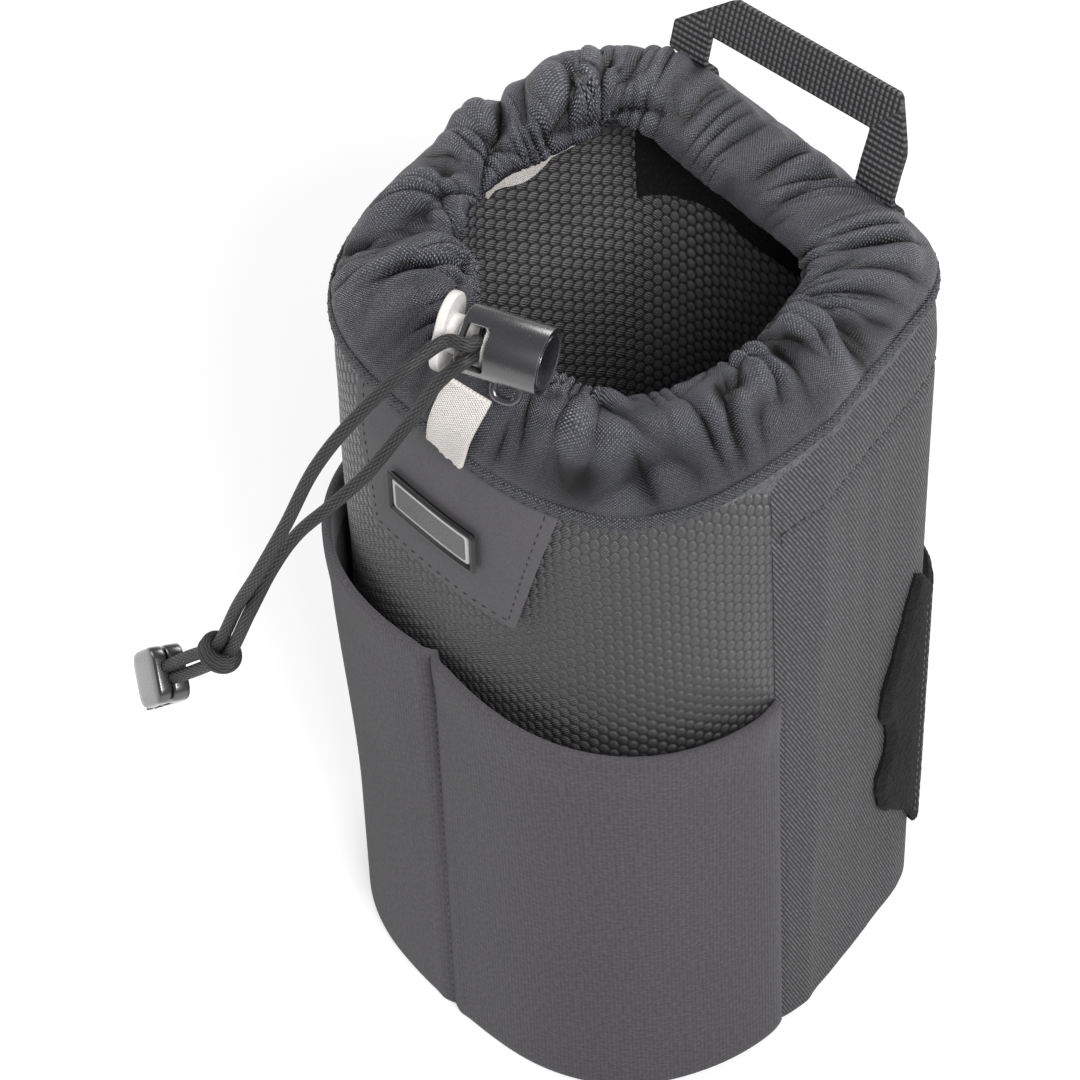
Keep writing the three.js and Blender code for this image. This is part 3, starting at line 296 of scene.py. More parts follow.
def pick(obj: Object) -> Object:
    """Makes obj the only selected and the active object.

    Args:
        obj: The object.

    Returns:
        The same object.
    """
    deselect()
    obj.select_set(True)
    bpy.context.view_layer.objects.active = obj
    return obj


def newest(name: str) -> Object:
    """Names the object that an operator has just added.

    Args:
        name: Its name.

    Returns:
        The object.
    """
    obj = bpy.context.object
    obj.name = name
    obj.data.name = name
    return obj


def points_of(obj: Object) -> Array:
    """The object's vertices, n by 3.

    Args:
        obj: A mesh object.

    Returns:
        Their places.
    """
    flat = np.empty(len(obj.data.vertices) * 3)
    obj.data.vertices.foreach_get("co", flat)
    return flat.reshape(-1, 3)


def set_points(obj: Object, points: Array) -> None:
    """Writes the object's vertices."""
    obj.data.vertices.foreach_set("co", np.ascontiguousarray(points, float).ravel())
    obj.data.update()


def normals_of(obj: Object) -> Array:
    """The object's vertex normals, n by 3.

    Args:
        obj: A mesh object.

    Returns:
        Unit vectors.
    """
    flat = np.empty(len(obj.data.vertices) * 3)
    obj.data.vertex_normals.foreach_get("vector", flat)
    return flat.reshape(-1, 3)


def modifier(obj: Object, kind: str, **settings: object) -> None:
    """Adds a modifier with these settings and applies it.

    Args:
        obj: The object.
        kind: The modifier's type.
        settings: Values of its fields.
    """
    pick(obj)
    added = obj.modifiers.new(kind.lower(), kind)
    for key, value in settings.items():
        setattr(added, key, value)
    bpy.ops.object.modifier_apply(modifier=added.name)


def shade(obj: Object, degrees: float = 40) -> None:
    """Shades smooth, with edges sharper than this kept."""
    pick(obj)
    bpy.ops.object.shade_smooth_by_angle(angle=math.radians(degrees))


def edit(obj: Object, *, kind: str = "FACE",
         chosen: Optional[Callable[[Vector, Vector], bool]] = None) -> None:
    """Enters edit mode with some faces selected.

    Args:
        obj: The object.
        kind: VERT, EDGE or FACE.
        chosen: Picks faces by centre and normal. Without it all are selected.
    """
    pick(obj)
    bpy.ops.object.mode_set(mode="EDIT")
    bpy.ops.mesh.select_mode(type=kind)
    bpy.ops.mesh.select_all(action="SELECT" if chosen is None else "DESELECT")
    if chosen is not None:
        bpy.ops.object.mode_set(mode="OBJECT")
        for face in obj.data.polygons:
            face.select = chosen(face.center, face.normal)
        bpy.ops.object.mode_set(mode="EDIT")


def leave_edit() -> None:
    """Goes back to object mode."""
    bpy.ops.object.mode_set(mode="OBJECT")


def face_outwards() -> None:
    """Turns all faces of the edited mesh outwards."""
    bpy.ops.mesh.select_all(action="SELECT")
    bpy.ops.mesh.normals_make_consistent(inside=False)


def step_in(*steps: Spot) -> None:
    """Insets the selected faces and raises them, over and over.

    Args:
        steps: The inset and the rise of each round.
    """
    for inset, rise in steps:
        bpy.ops.mesh.inset(thickness=inset)
        bpy.ops.transform.translate(value=(0, 0, rise))


def round_edges(obj: Object, width: float, segments: int = 3, degrees: float = 30) -> None:
    """Rounds the edges that are sharper than this."""
    modifier(obj, "BEVEL", width=width, segments=segments, limit_method="ANGLE",
             angle_limit=math.radians(degrees))


def combine(obj: Object, tool: Object, operation: str) -> None:
    """Joins tool to obj or cuts it out, and removes it."""
    modifier(obj, "BOOLEAN", operation=operation, object=tool, solver="EXACT")
    bpy.data.objects.remove(tool)


def block(name: str, size: Sequence[float], place: Sequence[float]) -> Object:
    """Adds a box.

    Args:
        name: Its name.
        size: Its size along X, Y and Z.
        place: Its centre.

    Returns:
        The new object.
    """
    deselect()
    bpy.ops.mesh.primitive_cube_add(size=1, location=place)
    obj = newest(name)
    obj.scale = size
    bpy.ops.object.transform_apply()
    return obj


def bar(name: str, radius: float, length: float, place: Sequence[float], turn: Sequence[float],
        sides: int) -> Object:
    """Adds a round bar.

    Args:
        name: Its name.
        radius: Its radius.
        length: Its length.
        place: Its centre.
        turn: How it is turned from upright.
        sides: Faces round it.

    Returns:
        The new object.
    """
    deselect()
    bpy.ops.mesh.primitive_cylinder_add(vertices=sides, radius=radius, depth=length, location=place,
                                        rotation=turn)
    obj = newest(name)
    bpy.ops.object.transform_apply()
    return obj


def footprint(name: str, corners: int, z: float, out: float, insets: Sequence[Spot]) -> Object:
    """Adds a flat plate with the body's outline, with rings inset and raised.

    Args:
        name: Its name.
        corners: Points round it.
        z: Its height in millimetres.
        out: Distance of its edge off the body.
        insets: Width and rise of each ring.

    Returns:
        The new object.
    """
    deselect()
    bpy.ops.mesh.primitive_circle_add(vertices=corners, radius=1, fill_type="NGON")
    obj = newest(name)
    flat = points_of(obj)
    share = (np.degrees(np.arctan2(flat[:, 0], -flat[:, 1])) / 360) % 1
    set_points(obj, BODY.on(share, z, out) * MM)
    edit(obj)
    step_in(*((inset * MM, rise * MM) for inset, rise in insets))
    face_outwards()
    leave_edit()
    return obj


def cloth_grid(name: str, columns: int, rows: int, place: Place, size: tuple[float, float],
               ring: bool = False) -> Object:
    """Adds a grid and lays it like cloth, with cloth coordinates in millimetres.

    Args:
        name: Name of the piece.
        columns: Faces across.
        rows: Faces up.
        place: Gives points in millimetres for the shares across and up.
        size: Width and height of the cloth.
        ring: Whether the last column meets the first.

    Returns:
        The new object.
    """
    deselect()
    bpy.ops.mesh.primitive_grid_add(x_subdivisions=columns, y_subdivisions=rows, size=1)
    obj = newest(name)
    flat = points_of(obj)
    u, v = np.clip(flat[:, 0] + 0.5, 0, 1), np.clip(flat[:, 1] + 0.5, 0, 1)
    corner = np.empty(len(obj.data.loops), dtype=np.int32)
    obj.data.loops.foreach_get("vertex_index", corner)
    layer = obj.data.uv_layers[0]
    layer.name = CLOTH_MAP
    spread = np.stack([u[corner] * size[0], v[corner] * size[1]], 1)
    layer.data.foreach_set("uv", spread.ravel())
    set_points(obj, place(u, v) * MM)
    if ring:
        edit(obj, kind="VERT")
        bpy.ops.mesh.remove_doubles(threshold=1e-6)
        leave_edit()
    return obj


def store(obj: Object, name: str, values: Array) -> None:
    """Keeps one value at each vertex, 0 to 1, for a material to read."""
    layer = obj.data.attributes.new(name, "FLOAT", "POINT")
    layer.data.foreach_set("value", np.clip(values, 0, 1).astype(np.float32))


def thicken(obj: Object, thickness: float, offset: float = -1, bevel: float = 0.0) -> Object:
    """Gives a sheet its thickness in millimetres and shades it.

    Args:
        obj: The sheet.
        thickness: Thickness in millimetres.
        offset: -1 grows inwards, 1 outwards.
        bevel: Radius of its edges.

    Returns:
        The same object.
    """
    modifier(obj, "SOLIDIFY", thickness=thickness * MM, offset=offset, use_even_offset=False)
    if bevel:
        round_edges(obj, bevel * MM, 2, 60)
    shade(obj, 50)
    return obj


def wall_sheet(name: str, edges: tuple[Edge, Edge], ends: tuple[Edge, Edge], out: Out,
               faces: tuple[int, int]) -> Object:
    """A sheet that lies along the body between two shares and two heights.

    Args:
        name: Name of the piece.
        edges: Shares of its left and right edge, plain or by the share of its height.
        ends: Heights of its lower and upper edge, plain or by the share round.
        out: Distance off the body from share, height and the two grid shares.
        faces: Faces across and up.

    Returns:
        The new object.
    """
    def at(edge: Edge, where: Array) -> Number:
        """An edge's value at these places."""
        return edge(where) if callable(edge) else edge

    def place(u: Array, v: Array) -> Array:
        """A point of the sheet.

        Args:
            u: Shares across.
            v: Shares up.

        Returns:
            Its places.
        """
        share = mix(at(edges[0], v), at(edges[1], v), u)
        z = mix(at(ends[0], share), at(ends[1], share), v)
        return BODY.on(share, z, out(share, z, u, v))

    left, right = (float(np.ravel(at(edge, np.array([0.5])))[0]) for edge in edges)
    return cloth_grid(name, *faces, place, ((right - left) * BODY.plan.length, BODY.height))


def flat_shape(name: str, half_width: float, half_height: float, corner: float,
               segments: int = 8) -> Object:
    """A flat plate with round corners in the XY plane, in millimetres.

    Args:
        name: Name of the piece.
        half_width: Half its width along X.
        half_height: Half its height along Y.
        corner: Radius of its corners.
        segments: Segments of each corner.

    Returns:
        The new object.
    """
    deselect()
    bpy.ops.mesh.primitive_plane_add(size=1)
    obj = newest(name)
    obj.data.uv_layers[0].name = CLOTH_MAP
    set_points(obj, points_of(obj) * [2 * half_width, 2 * half_height, 1])
    edit(obj, kind="VERT")
    bpy.ops.mesh.bevel(offset=corner, segments=segments, affect="VERTICES")
    leave_edit()
    return obj


def sweep(name: str, path: Array, radius: float, sides: int, swell: Optional[Array] = None,
          caps: bool = True) -> Object:
    """A round tube along a path, with cloth coordinates along and round it.

    Args:
        name: Name of the piece.
        path: Ring centres in millimetres.
        radius: Its radius.
        sides: Faces round it.
        swell: Share of the radius at each ring.
        caps: Whether its ends are closed.

    Returns:
        The new object.
    """
    along = unit(np.gradient(path, axis=0))
    wide = np.empty_like(path)
    wide[0] = unit(np.cross(along[0], [0, 0, 1.0] if abs(along[0][2]) < 0.9 else [1.0, 0, 0]))
    for k in range(1, len(path)):
        wide[k] = unit(wide[k - 1] - along[k] * (wide[k - 1] @ along[k]))
    deep = np.cross(along, wide)
    marks = marks_along(path)
    swell = np.ones(len(path)) if swell is None else swell

    def place(u: Array, v: Array) -> Array:
        """A point of the tube's skin.

        Args:
            u: Shares across.
            v: Shares up.

        Returns:
            Its places.
        """
        k = np.rint(u * (len(path) - 1)).astype(int)
        angle = -2 * math.pi * v
        reach = radius * swell[k][:, None]
        return path[k] + reach * (np.cos(angle)[:, None] * wide[k] + np.sin(angle)[:, None] * deep[k])

    obj = cloth_grid(name, len(path) - 1, sides, place, (float(marks[-1]), 2 * math.pi * radius), ring=True)
    if caps:
        edit(obj, kind="EDGE")
        bpy.ops.mesh.select_all(action="DESELECT")
        bpy.ops.mesh.select_non_manifold()
        bpy.ops.mesh.fill_holes(sides=sides + 2)
        leave_edit()
    shade(obj, 60)
    return obj


def smooth_path(points: Sequence[Sequence[float]], count: int) -> Array:
    """Even points along a smooth curve through these points.

    Args:
        points: Points to go through.
        count: How many points to give.

    Returns:
        Points, count by 3.
    """
    p = np.asarray(points, float)
    p = np.concatenate([[2 * p[0] - p[1]], p, [2 * p[-1] - p[-2]]])
    fine = []
    for k in range(len(p) - 3):
        a, b, c, d = p[k:k + 4]
        knots = np.concatenate([[0], np.cumsum(np.sqrt(np.diff(marks_along(p[k:k + 4]))))])
        t = np.linspace(knots[1], knots[2], 24, endpoint=False)[:, None]

        def blend(m: Array, n: Array, i: int, j: int) -> Array:
            """Steps between two points by their knots."""
            return ((knots[j] - t) * m + (t - knots[i]) * n) / (knots[j] - knots[i])

        one, two, three = blend(a, b, 0, 1), blend(b, c, 1, 2), blend(c, d, 2, 3)
        fine.append(blend(blend(one, two, 0, 2), blend(two, three, 1, 3), 1, 2))
    fine = np.concatenate(fine + [p[-2:-1]])
    marks = marks_along(fine)
    return resample(fine, marks, np.linspace(0, marks[-1], count))


# Finishes

Socket = Union[bpy.types.NodeSocket, float, tuple]
Pair = tuple[Socket, Socket]


class Graph:
    """Adds nodes to a shader tree and joins them."""

    def __init__(self, tree: bpy.types.NodeTree) -> None:
        """Keeps the tree."""
        self.tree = tree

    def add(self, kind: str, inputs: Optional[dict] = None, **settings: object) -> bpy.types.Node:
        """Adds a node.

        Args:
            kind: Its type.
            inputs: Sockets or plain values by input name or number.
            settings: Its properties.

        Returns:
            The node.
        """
        node = self.tree.nodes.new(kind)
        for key, value in settings.items():
            setattr(node, key, value)
        for key, value in (inputs or {}).items():
            if isinstance(value, bpy.types.NodeSocket):
                self.tree.links.new(value, node.inputs[key])
            else:
                node.inputs[key].default_value = value
        return node

    def math(self, operation: str, a: Socket, b: Socket = 0.0, c: Socket = 0.0) -> Socket:
        """The result of one Math node."""
        return self.add("ShaderNodeMath", {0: a, 1: b, 2: c}, operation=operation).outputs[0]

    def scaled(self, vector: Socket, gain: Socket) -> Socket:
        """The vector or colour times the gain."""
        return self.add("ShaderNodeVectorMath", {0: vector, "Scale": gain}, operation="SCALE").outputs[0]

    def times(self, a: Socket, b: Socket) -> Socket:
        """The product of two values."""
        return self.math("MULTIPLY", a, b)

    def fit(self, value: Socket, gain: Socket, lift: Socket) -> Socket:
        """The value times the gain plus the lift."""
        return self.math("MULTIPLY_ADD", value, gain, lift)

    def ease(self, value: Socket, low: float, high: float, to_low: float = 0.0,
             to_high: float = 1.0) -> Socket:
        """Eases value from one range to another.

        Args:
            value: The value.
            low: Where it starts.
            high: Where it ends.
            to_low: Result at the start.
            to_high: Result at the end.

        Returns:
            The eased value.
        """
        node = self.add("ShaderNodeMapRange", {0: value, 1: low, 2: high, 3: to_low, 4: to_high},
                        interpolation_type="SMOOTHSTEP")
        return node.outputs[0]

    def join(self, x: Socket, y: Socket, z: Socket = 0.0) -> Socket:
        """A vector of three values."""
        return self.add("ShaderNodeCombineXYZ", {0: x, 1: y, 2: z}).outputs[0]

    def noise(self, place: Socket, scale: float, detail: float = 2.0) -> Socket:
        """Noise, about 0 to 1."""
        settings = {"Vector": place, "Scale": scale, "Detail": detail}
        return self.add("ShaderNodeTexNoise", settings).outputs["Fac"]

    def wave(self, value: Socket, turns: float = 1.0) -> Socket:
        """Sine of value times turns, 0 to 1."""
        sine = self.math("SINE", self.times(value, 2 * math.pi * turns))
        return self.fit(sine, 0.5, 0.5)


def emptied(owner: Union[bpy.types.Material, bpy.types.World]) -> Graph:
    """Clears the nodes of a material or a world.

    Args:
        owner: The material or world.

    Returns:
        The graph to fill.
    """
    owner.use_nodes = True
    owner.node_tree.nodes.clear()
    return Graph(owner.node_tree)


def open_group(name: str, inputs: dict[str, str], outputs: dict[str, str]) -> Graph:
    """Starts a shader group.

    Args:
        name: Its name.
        inputs: Kind of each input by its name.
        outputs: Kind of each output by its name.

    Returns:
        The graph to fill.
    """
    tree = bpy.data.node_groups.new(name, "ShaderNodeTree")
    for way, sockets in (("INPUT", inputs), ("OUTPUT", outputs)):
        for key, kind in sockets.items():
            tree.interface.new_socket(key, in_out=way, socket_type=f"NodeSocket{kind}")
    return Graph(tree)


class Pattern(Enum):
    """How a surface is woven, grained or moulded."""

    HONEYCOMB = "honeycomb_weave"
    TWILL = "twill_weave"
    PLAIN = "plain_weave"
    KNIT = "smooth_knit"
    PILE = "loop_pile"
    RIBBED = "ribbed_webbing"
    BRAID = "cord_braid"
    GRAIN = "leather_grain"
    MOULDED = "moulded_skin"


class PatternMaker:
    """Builds one shader group for each pattern, with Place and Pitch in and Mask and Height out.

    Each pattern's method takes the group's graph, the place and its x and y, all counted in
    pitches, and gives the mask and the height.
    """

    def __init__(self) -> None:
        """Starts with no group."""
        self.made: dict[Pattern, bpy.types.NodeTree] = {}

    def group(self, pattern: Pattern) -> bpy.types.NodeTree:
        """The pattern's group, built when first asked for.

        Args:
            pattern: The pattern.

        Returns:
            Its node group.
        """
        if pattern not in self.made:
            g = open_group(pattern.value, {"Place": "Vector", "Pitch": "Float"},
                           {"Mask": "Float", "Height": "Float"})
            ends = g.add("NodeGroupInput")
            turns = g.math("DIVIDE", 1.0, ends.outputs["Pitch"])
            place = g.scaled(ends.outputs["Place"], turns)
            x, y, _ = g.add("ShaderNodeSeparateXYZ", {0: place}).outputs
            mask, height = getattr(self, pattern.value)(g, place, x, y)
            g.add("NodeGroupOutput", {"Mask": mask, "Height": height})
            self.made[pattern] = g.tree
        return self.made[pattern]

    def honeycomb_weave(self, g: Graph, place: Socket, x: Socket, y: Socket) -> Pair:
        """Round cells of slanting threads, set like a honeycomb.

        Args:
            g: The group's graph.
            place: Places on the cloth, in pitches; not used here.
            x: Places across.
            y: Places along.

        Returns:
            The mask and the height.
        """
        root = math.sqrt(3)

        def off_centre(shift: float) -> Socket:
            """Distance from the nearest cell centre of one of the two square sets.

            Args:
                shift: The set's shift, in cells.

            Returns:
                The distance.
            """
            across = g.math("SUBTRACT", g.math("FRACT", g.math("ADD", x, shift)), 0.5)
            row = g.math("FRACT", g.fit(y, 1 / root, shift))
            up = g.times(g.math("SUBTRACT", row, 0.5), root)
            span = g.add("ShaderNodeVectorMath", {0: g.join(across, up)}, operation="LENGTH")
            return span.outputs["Value"]

        far = g.math("MINIMUM", off_centre(0.0), off_centre(0.5))
        cell = g.ease(far, 0.56, 0.3)
        threads = g.wave(g.fit(y, 2.2, g.times(x, 3.2)), 1.3)
        crown = g.ease(far, 0.5, 0.05)
        mask = g.times(cell, g.fit(threads, 0.5, 0.5))
        return mask, g.times(mask, g.fit(crown, 0.5, 0.5))

    def twill_weave(self, g: Graph, place: Socket, x: Socket, y: Socket) -> Pair:
        """Slanting ribs broken into short floats.

        Args:
            g: The group's graph.
            place: Places on the cloth, in pitches.
            x: Places across.
            y: Places along.

        Returns:
            The mask and the height.
        """
        slant = g.fit(y, 0.42, x)
        ribs = g.wave(slant)
        floats = g.wave(g.fit(x, -0.7, g.times(y, 0.9)))
        broken = g.ease(g.noise(place, 0.9, 3.0), 0.3, 0.7)
        height = g.times(ribs, g.fit(floats, 0.3, 0.7))
        return g.times(height, g.fit(broken, 0.8, 0.4)), height

    def plain_weave(self, g: Graph, place: Socket, x: Socket, y: Socket) -> Pair:
        """Over and under threads with some slubs.

        Args:
            g: The group's graph.
            place: Places on the cloth, in pitches.
            x: Places across.
            y: Places along.

        Returns:
            The mask and the height.
        """
        over = g.times(g.wave(g.math("ADD", x, y)), g.wave(g.math("SUBTRACT", x, y)))
        slub = g.noise(g.join(g.times(x, 0.35), g.times(y, 1.6)), 1.0)
        uneven = g.ease(g.noise(place, 1.5, 2.0), 0.3, 0.7)
        height = g.times(g.math("POWER", over, 0.7), g.fit(slub, 0.8, 0.5))
        return g.times(height, g.fit(uneven, 0.9, 0.35)), height

    def smooth_knit(self, g: Graph, place: Socket, x: Socket, y: Socket) -> Pair:
        """Close jersey with a faint speckle.

        Args:
            g: The group's graph.
            place: Places on the cloth, in pitches.
            x: Places across.
            y: Places along.

        Returns:
            The mask and the height.
        """
        wales = g.times(g.wave(x), g.wave(g.fit(x, 0.5, y)))
        speckle = g.ease(g.noise(place, 0.8, 3.0), 0.35, 0.7)
        return g.fit(wales, 0.35, g.times(speckle, 0.65)), wales

    def loop_pile(self, g: Graph, place: Socket, x: Socket, y: Socket) -> Pair:
        """Tangled loops.

        Args:
            g: The group's graph.
            place: Places on the cloth, in pitches.
            x: Places across; not used here.
            y: Places along; not used here.

        Returns:
            The mask and the height.
        """
        cells = g.add("ShaderNodeTexVoronoi", {"Vector": place, "Scale": 1.0, "Randomness": 1.0})
        tangle = g.noise(place, 1.7, 4.0)
        loops = g.math("SUBTRACT", 1.0, cells.outputs["Distance"])
        height = g.times(loops, g.fit(tangle, 0.9, 0.3))
        return g.ease(height, 0.3, 0.9), height

    def ribbed_webbing(self, g: Graph, place: Socket, x: Socket, y: Socket) -> Pair:
        """Thick weft ribs crossed by fine warp threads.

        Args:
            g: The group's graph.
            place: Places on the cloth, in pitches; not used here.
            x: Places across.
            y: Places along.

        Returns:
            The mask and the height.
        """
        ribs = g.wave(y)
        warp = g.math("ABSOLUTE", g.math("SINE", g.times(x, math.pi)))
        height = g.times(ribs, g.math("POWER", warp, 0.5))
        return height, height

    def cord_braid(self, g: Graph, place: Socket, x: Socket, y: Socket) -> Pair:
        """Crossing strands of a round braid.

        Args:
            g: The group's graph.
            place: Places on the cloth, in pitches; not used here.
            x: Places across.
            y: Places along.

        Returns:
            The mask and the height.
        """
        round_it = g.times(y, 2.0)
        one = g.wave(g.fit(x, 0.55, round_it))
        two = g.wave(g.fit(x, -0.55, round_it))
        strands = g.fit(one, 0.6, g.times(two, 0.4))
        height = g.math("POWER", strands, 1.6)
        return height, height

    def leather_grain(self, g: Graph, place: Socket, x: Socket, y: Socket) -> Pair:
        """Small pebbles with creases between them.

        Args:
            g: The group's graph.
            place: Places on the cloth, in pitches.
            x: Places across; not used here.
            y: Places along; not used here.

        Returns:
            The mask and the height.
        """
        cells = g.add("ShaderNodeTexVoronoi", {"Vector": place, "Scale": 1.0}, feature="DISTANCE_TO_EDGE")
        height = g.ease(cells.outputs["Distance"], 0.0, 0.22)
        return g.times(height, g.fit(g.noise(place, 0.4), 0.6, 0.6)), height

    def moulded_skin(self, g: Graph, place: Socket, x: Socket, y: Socket) -> Pair:
        """The fine spark texture of a moulded part."""
        height = g.noise(place, 1.0, 3.0)
        return g.ease(height, 0.3, 0.7), height


@dataclass(frozen=True)
class Finish:
    """One finish: the colours between and on the threads, and how they catch light."""

    name: str
    slot: str
    pattern: Pattern
    deep: Colour
    light: Colour
    pitch: float = 1.0
    rough_deep: float = 0.9
    rough_light: float = 0.7
    relief: float = 0.15
    sheen: float = 0.0
    shine: float = 0.5
    coat: float = 0.0
    metal: float = 0.0
    cloth: bool = True
    stretch: tuple[float, float] = (1.0, 1.0)
    turn: float = 0.0
    blotch: float = 0.12
    # Colour gain in the deepest creases and on the highest crests: painted shade and painted highlight.
    fold_shade_highlight: tuple[float, float] = (1.0, 1.0)


class Palette:
    """Builds each finish's material once."""

    def __init__(self) -> None:
        """Starts with no material."""
        self.patterns = PatternMaker()
        self.made: dict[str, bpy.types.Material] = {}

    def variation(self) -> bpy.types.NodeTree:
        """The group that wears, dusts and mottles a surface.

        Returns:
            The group, with Place, Colour and Amount in, and Colour and Wear out.
        """
        found = bpy.data.node_groups.get("handled_cloth")
        if found:
            return found
        g = open_group("handled_cloth", {"Place": "Vector", "Colour": "Color", "Amount": "Float"},
                       {"Colour": "Color", "Wear": "Float"})
        ends = g.add("NodeGroupInput")
        broad = g.noise(ends.outputs["Place"], 0.035, 3.0)
        fine = g.noise(ends.outputs["Place"], 0.4, 4.0)
        wear = g.fit(broad, 0.65, g.times(fine, 0.35))
        centred = g.fit(wear, 2.0, -1.0)
        gain = g.fit(centred, ends.outputs["Amount"], 1.0)
        tinted = g.scaled(ends.outputs["Colour"], gain)
        dust = g.ease(g.noise(ends.outputs["Place"], 1.1, 2.0), 0.72, 0.8, 0.0, 0.05)
        dusty = g.add("ShaderNodeVectorMath", {0: tinted, 1: g.join(dust, dust, dust)}, operation="ADD")
        g.add("NodeGroupOutput", {"Colour": dusty.outputs[0], "Wear": wear})
        return g.tree

    def material(self, finish: Finish) -> bpy.types.Material:
        """The finish's material.

        Args:
            finish: The finish.

        Returns:
            Its material, built when first asked for.
        """
        if finish.name in self.made:
            return self.made[finish.name]
        made = bpy.data.materials.new(finish.name)
        g = emptied(made)
        if finish.cloth:
            source = g.add("ShaderNodeUVMap", uv_map=CLOTH_MAP).outputs[0]
            scale = (finish.stretch[0], finish.stretch[1], 1.0)
        else:
            source = g.add("ShaderNodeTexCoord").outputs["Object"]
            scale = (1000.0 * finish.stretch[0], 1000.0 * finish.stretch[1], 1000.0)
        place = g.add("ShaderNodeMapping", {
            "Vector": source, "Scale": scale, "Rotation": (0.0, 0.0, math.radians(finish.turn)),
        }).outputs[0]
        weave = g.add("ShaderNodeGroup", {"Place": place, "Pitch": finish.pitch},
                      node_tree=self.patterns.group(finish.pattern))
        mask = weave.outputs["Mask"]
        tones = {0: mask, 6: (*finish.deep, 1), 7: (*finish.light, 1)}
        colour = g.add("ShaderNodeMix", tones, data_type="RGBA").outputs[2]
        # Painted shade in the creases and painted highlight on the crests: the colour is scaled by the
        # crease map.
        if finish.fold_shade_highlight != (1.0, 1.0):
            packed = g.add("ShaderNodeAttribute", attribute_name=FOLD_SHADE_HIGHLIGHT_MAP).outputs["Fac"]
            gain = g.ease(packed, 0.0, 1.0, *finish.fold_shade_highlight)
            colour = g.scaled(colour, gain)
        aged = g.add("ShaderNodeGroup", {"Place": place, "Colour": colour, "Amount": finish.blotch},
                     node_tree=self.variation())
        rough = g.fit(mask, finish.rough_light - finish.rough_deep, finish.rough_deep)
        worn = g.fit(aged.outputs["Wear"], 0.08, g.math("SUBTRACT", rough, 0.04))
        relief = g.add("ShaderNodeBump", {
            "Strength": 1.0, "Distance": finish.relief * MM, "Height": weave.outputs["Height"],
        })
        shader = g.add("ShaderNodeBsdfPrincipled", {
            "Base Color": aged.outputs["Colour"], "Roughness": worn, "Normal": relief.outputs[0],
            "Metallic": finish.metal, "Specular IOR Level": finish.shine, "Coat Weight": finish.coat,
            "Coat Roughness": 0.25, "Sheen Weight": finish.sheen, "Sheen Roughness": 0.45,
        })
        g.add("ShaderNodeOutputMaterial", {"Surface": shader.outputs[0]})
        self.made[finish.name] = made
        return made

    def dress(self, obj: Object, finish: Finish) -> Object:
        """Gives the whole object one finish.

        Args:
            obj: The object.
            finish: Its finish.

        Returns:
            The same object.
        """
        obj.data.materials.clear()
        obj.data.materials.append(self.material(finish))
        return obj


PALETTE = Palette()

HONEYCOMB = Finish("honeycomb_cloth", "honeycomb_cloth", Pattern.HONEYCOMB, (0.007, 0.0067, 0.007),
                   (0.082, 0.078, 0.082), 2.6, 0.65, 0.3, 0.7, shine=0.85, stretch=(1.0, 0.743), turn=90)
TWILL = Finish("twill_cloth", "twill_cloth", Pattern.TWILL, (0.03, 0.0285, 0.031), (0.2, 0.193, 0.204),
               0.92, 0.92, 0.72, 0.25, sheen=0.05)
# The gathered cloth's colour carries painted shade in its creases and a painted highlight on its crests.
GATHERED = Finish("gathered_cloth", "gathered_cloth", Pattern.PLAIN,
                  (0.005, 0.005, 0.008), (0.19, 0.193, 0.232), 0.85, 0.5, 0.3, 0.5, shine=1.0,
                  fold_shade_highlight=(0.15, 1.5))
BAND = Finish("band_cloth", "gathered_cloth", Pattern.PLAIN,
              (0.006, 0.006, 0.009), (0.185, 0.188, 0.215), 0.85, 0.65, 0.4, 0.3, shine=0.6)
STRETCH = Finish("stretch_cloth", "stretch_cloth", Pattern.KNIT,
                 (0.056, 0.052, 0.057), (0.104, 0.098, 0.105), 0.7, 0.95, 0.88, 0.06, sheen=0.12,
                 blotch=0.07)
# Lining colour lighter than the same cloth on the floor: partly its own tone, partly painted light standing
# for the light inside the pouch.
LINING = Finish("lining_cloth", "lining_cloth", Pattern.HONEYCOMB,
                (0.008, 0.008, 0.009), (0.225, 0.217, 0.225), 2.8, 0.7, 0.3, 0.6, shine=0.7,
                stretch=(1.0, 0.747), turn=90)
LOOP = Finish("loop_cloth", "loop_cloth", Pattern.PILE,
              (0.0015, 0.0015, 0.0017), (0.015, 0.0147, 0.0157), 1.1, 1.0, 0.9, 0.6)
FOAM = Finish("cell_foam", "foam", Pattern.MOULDED,
              (0.08, 0.08, 0.085), (0.16, 0.16, 0.165), 0.8, cloth=False)
PATCH = Finish("smooth_patch", "smooth_patch", Pattern.GRAIN, (0.083, 0.079, 0.084), (0.098, 0.094, 0.1),
               0.7, 0.62, 0.55, 0.012, shine=0.45, blotch=0.05)
RUBBER = Finish("soft_frame", "rubber_frame", Pattern.MOULDED,
                (0.005, 0.005, 0.0055), (0.011, 0.011, 0.012), 0.4, 0.5, 0.38, 0.015, cloth=False)
PLATE = Finish("blank_plate", "badge_metal", Pattern.MOULDED, (0.6, 0.6, 0.6), (0.75, 0.75, 0.75),
               0.3, 0.45, 0.35, 0.02, cloth=False, blotch=0.04)
FIELD = Finish("plate_field", "badge_metal", Pattern.MOULDED, (0.09, 0.09, 0.093), (0.14, 0.14, 0.143),
               0.3, 0.5, 0.4, 0.03, cloth=False, blotch=0.05)
MOULDED = Finish("dark_moulding", "dark_plastic", Pattern.MOULDED,
                 (0.018, 0.018, 0.02), (0.03, 0.03, 0.033), 0.35, 0.34, 0.26, 0.02, shine=0.9,
                 coat=1.0, cloth=False, blotch=0.05)
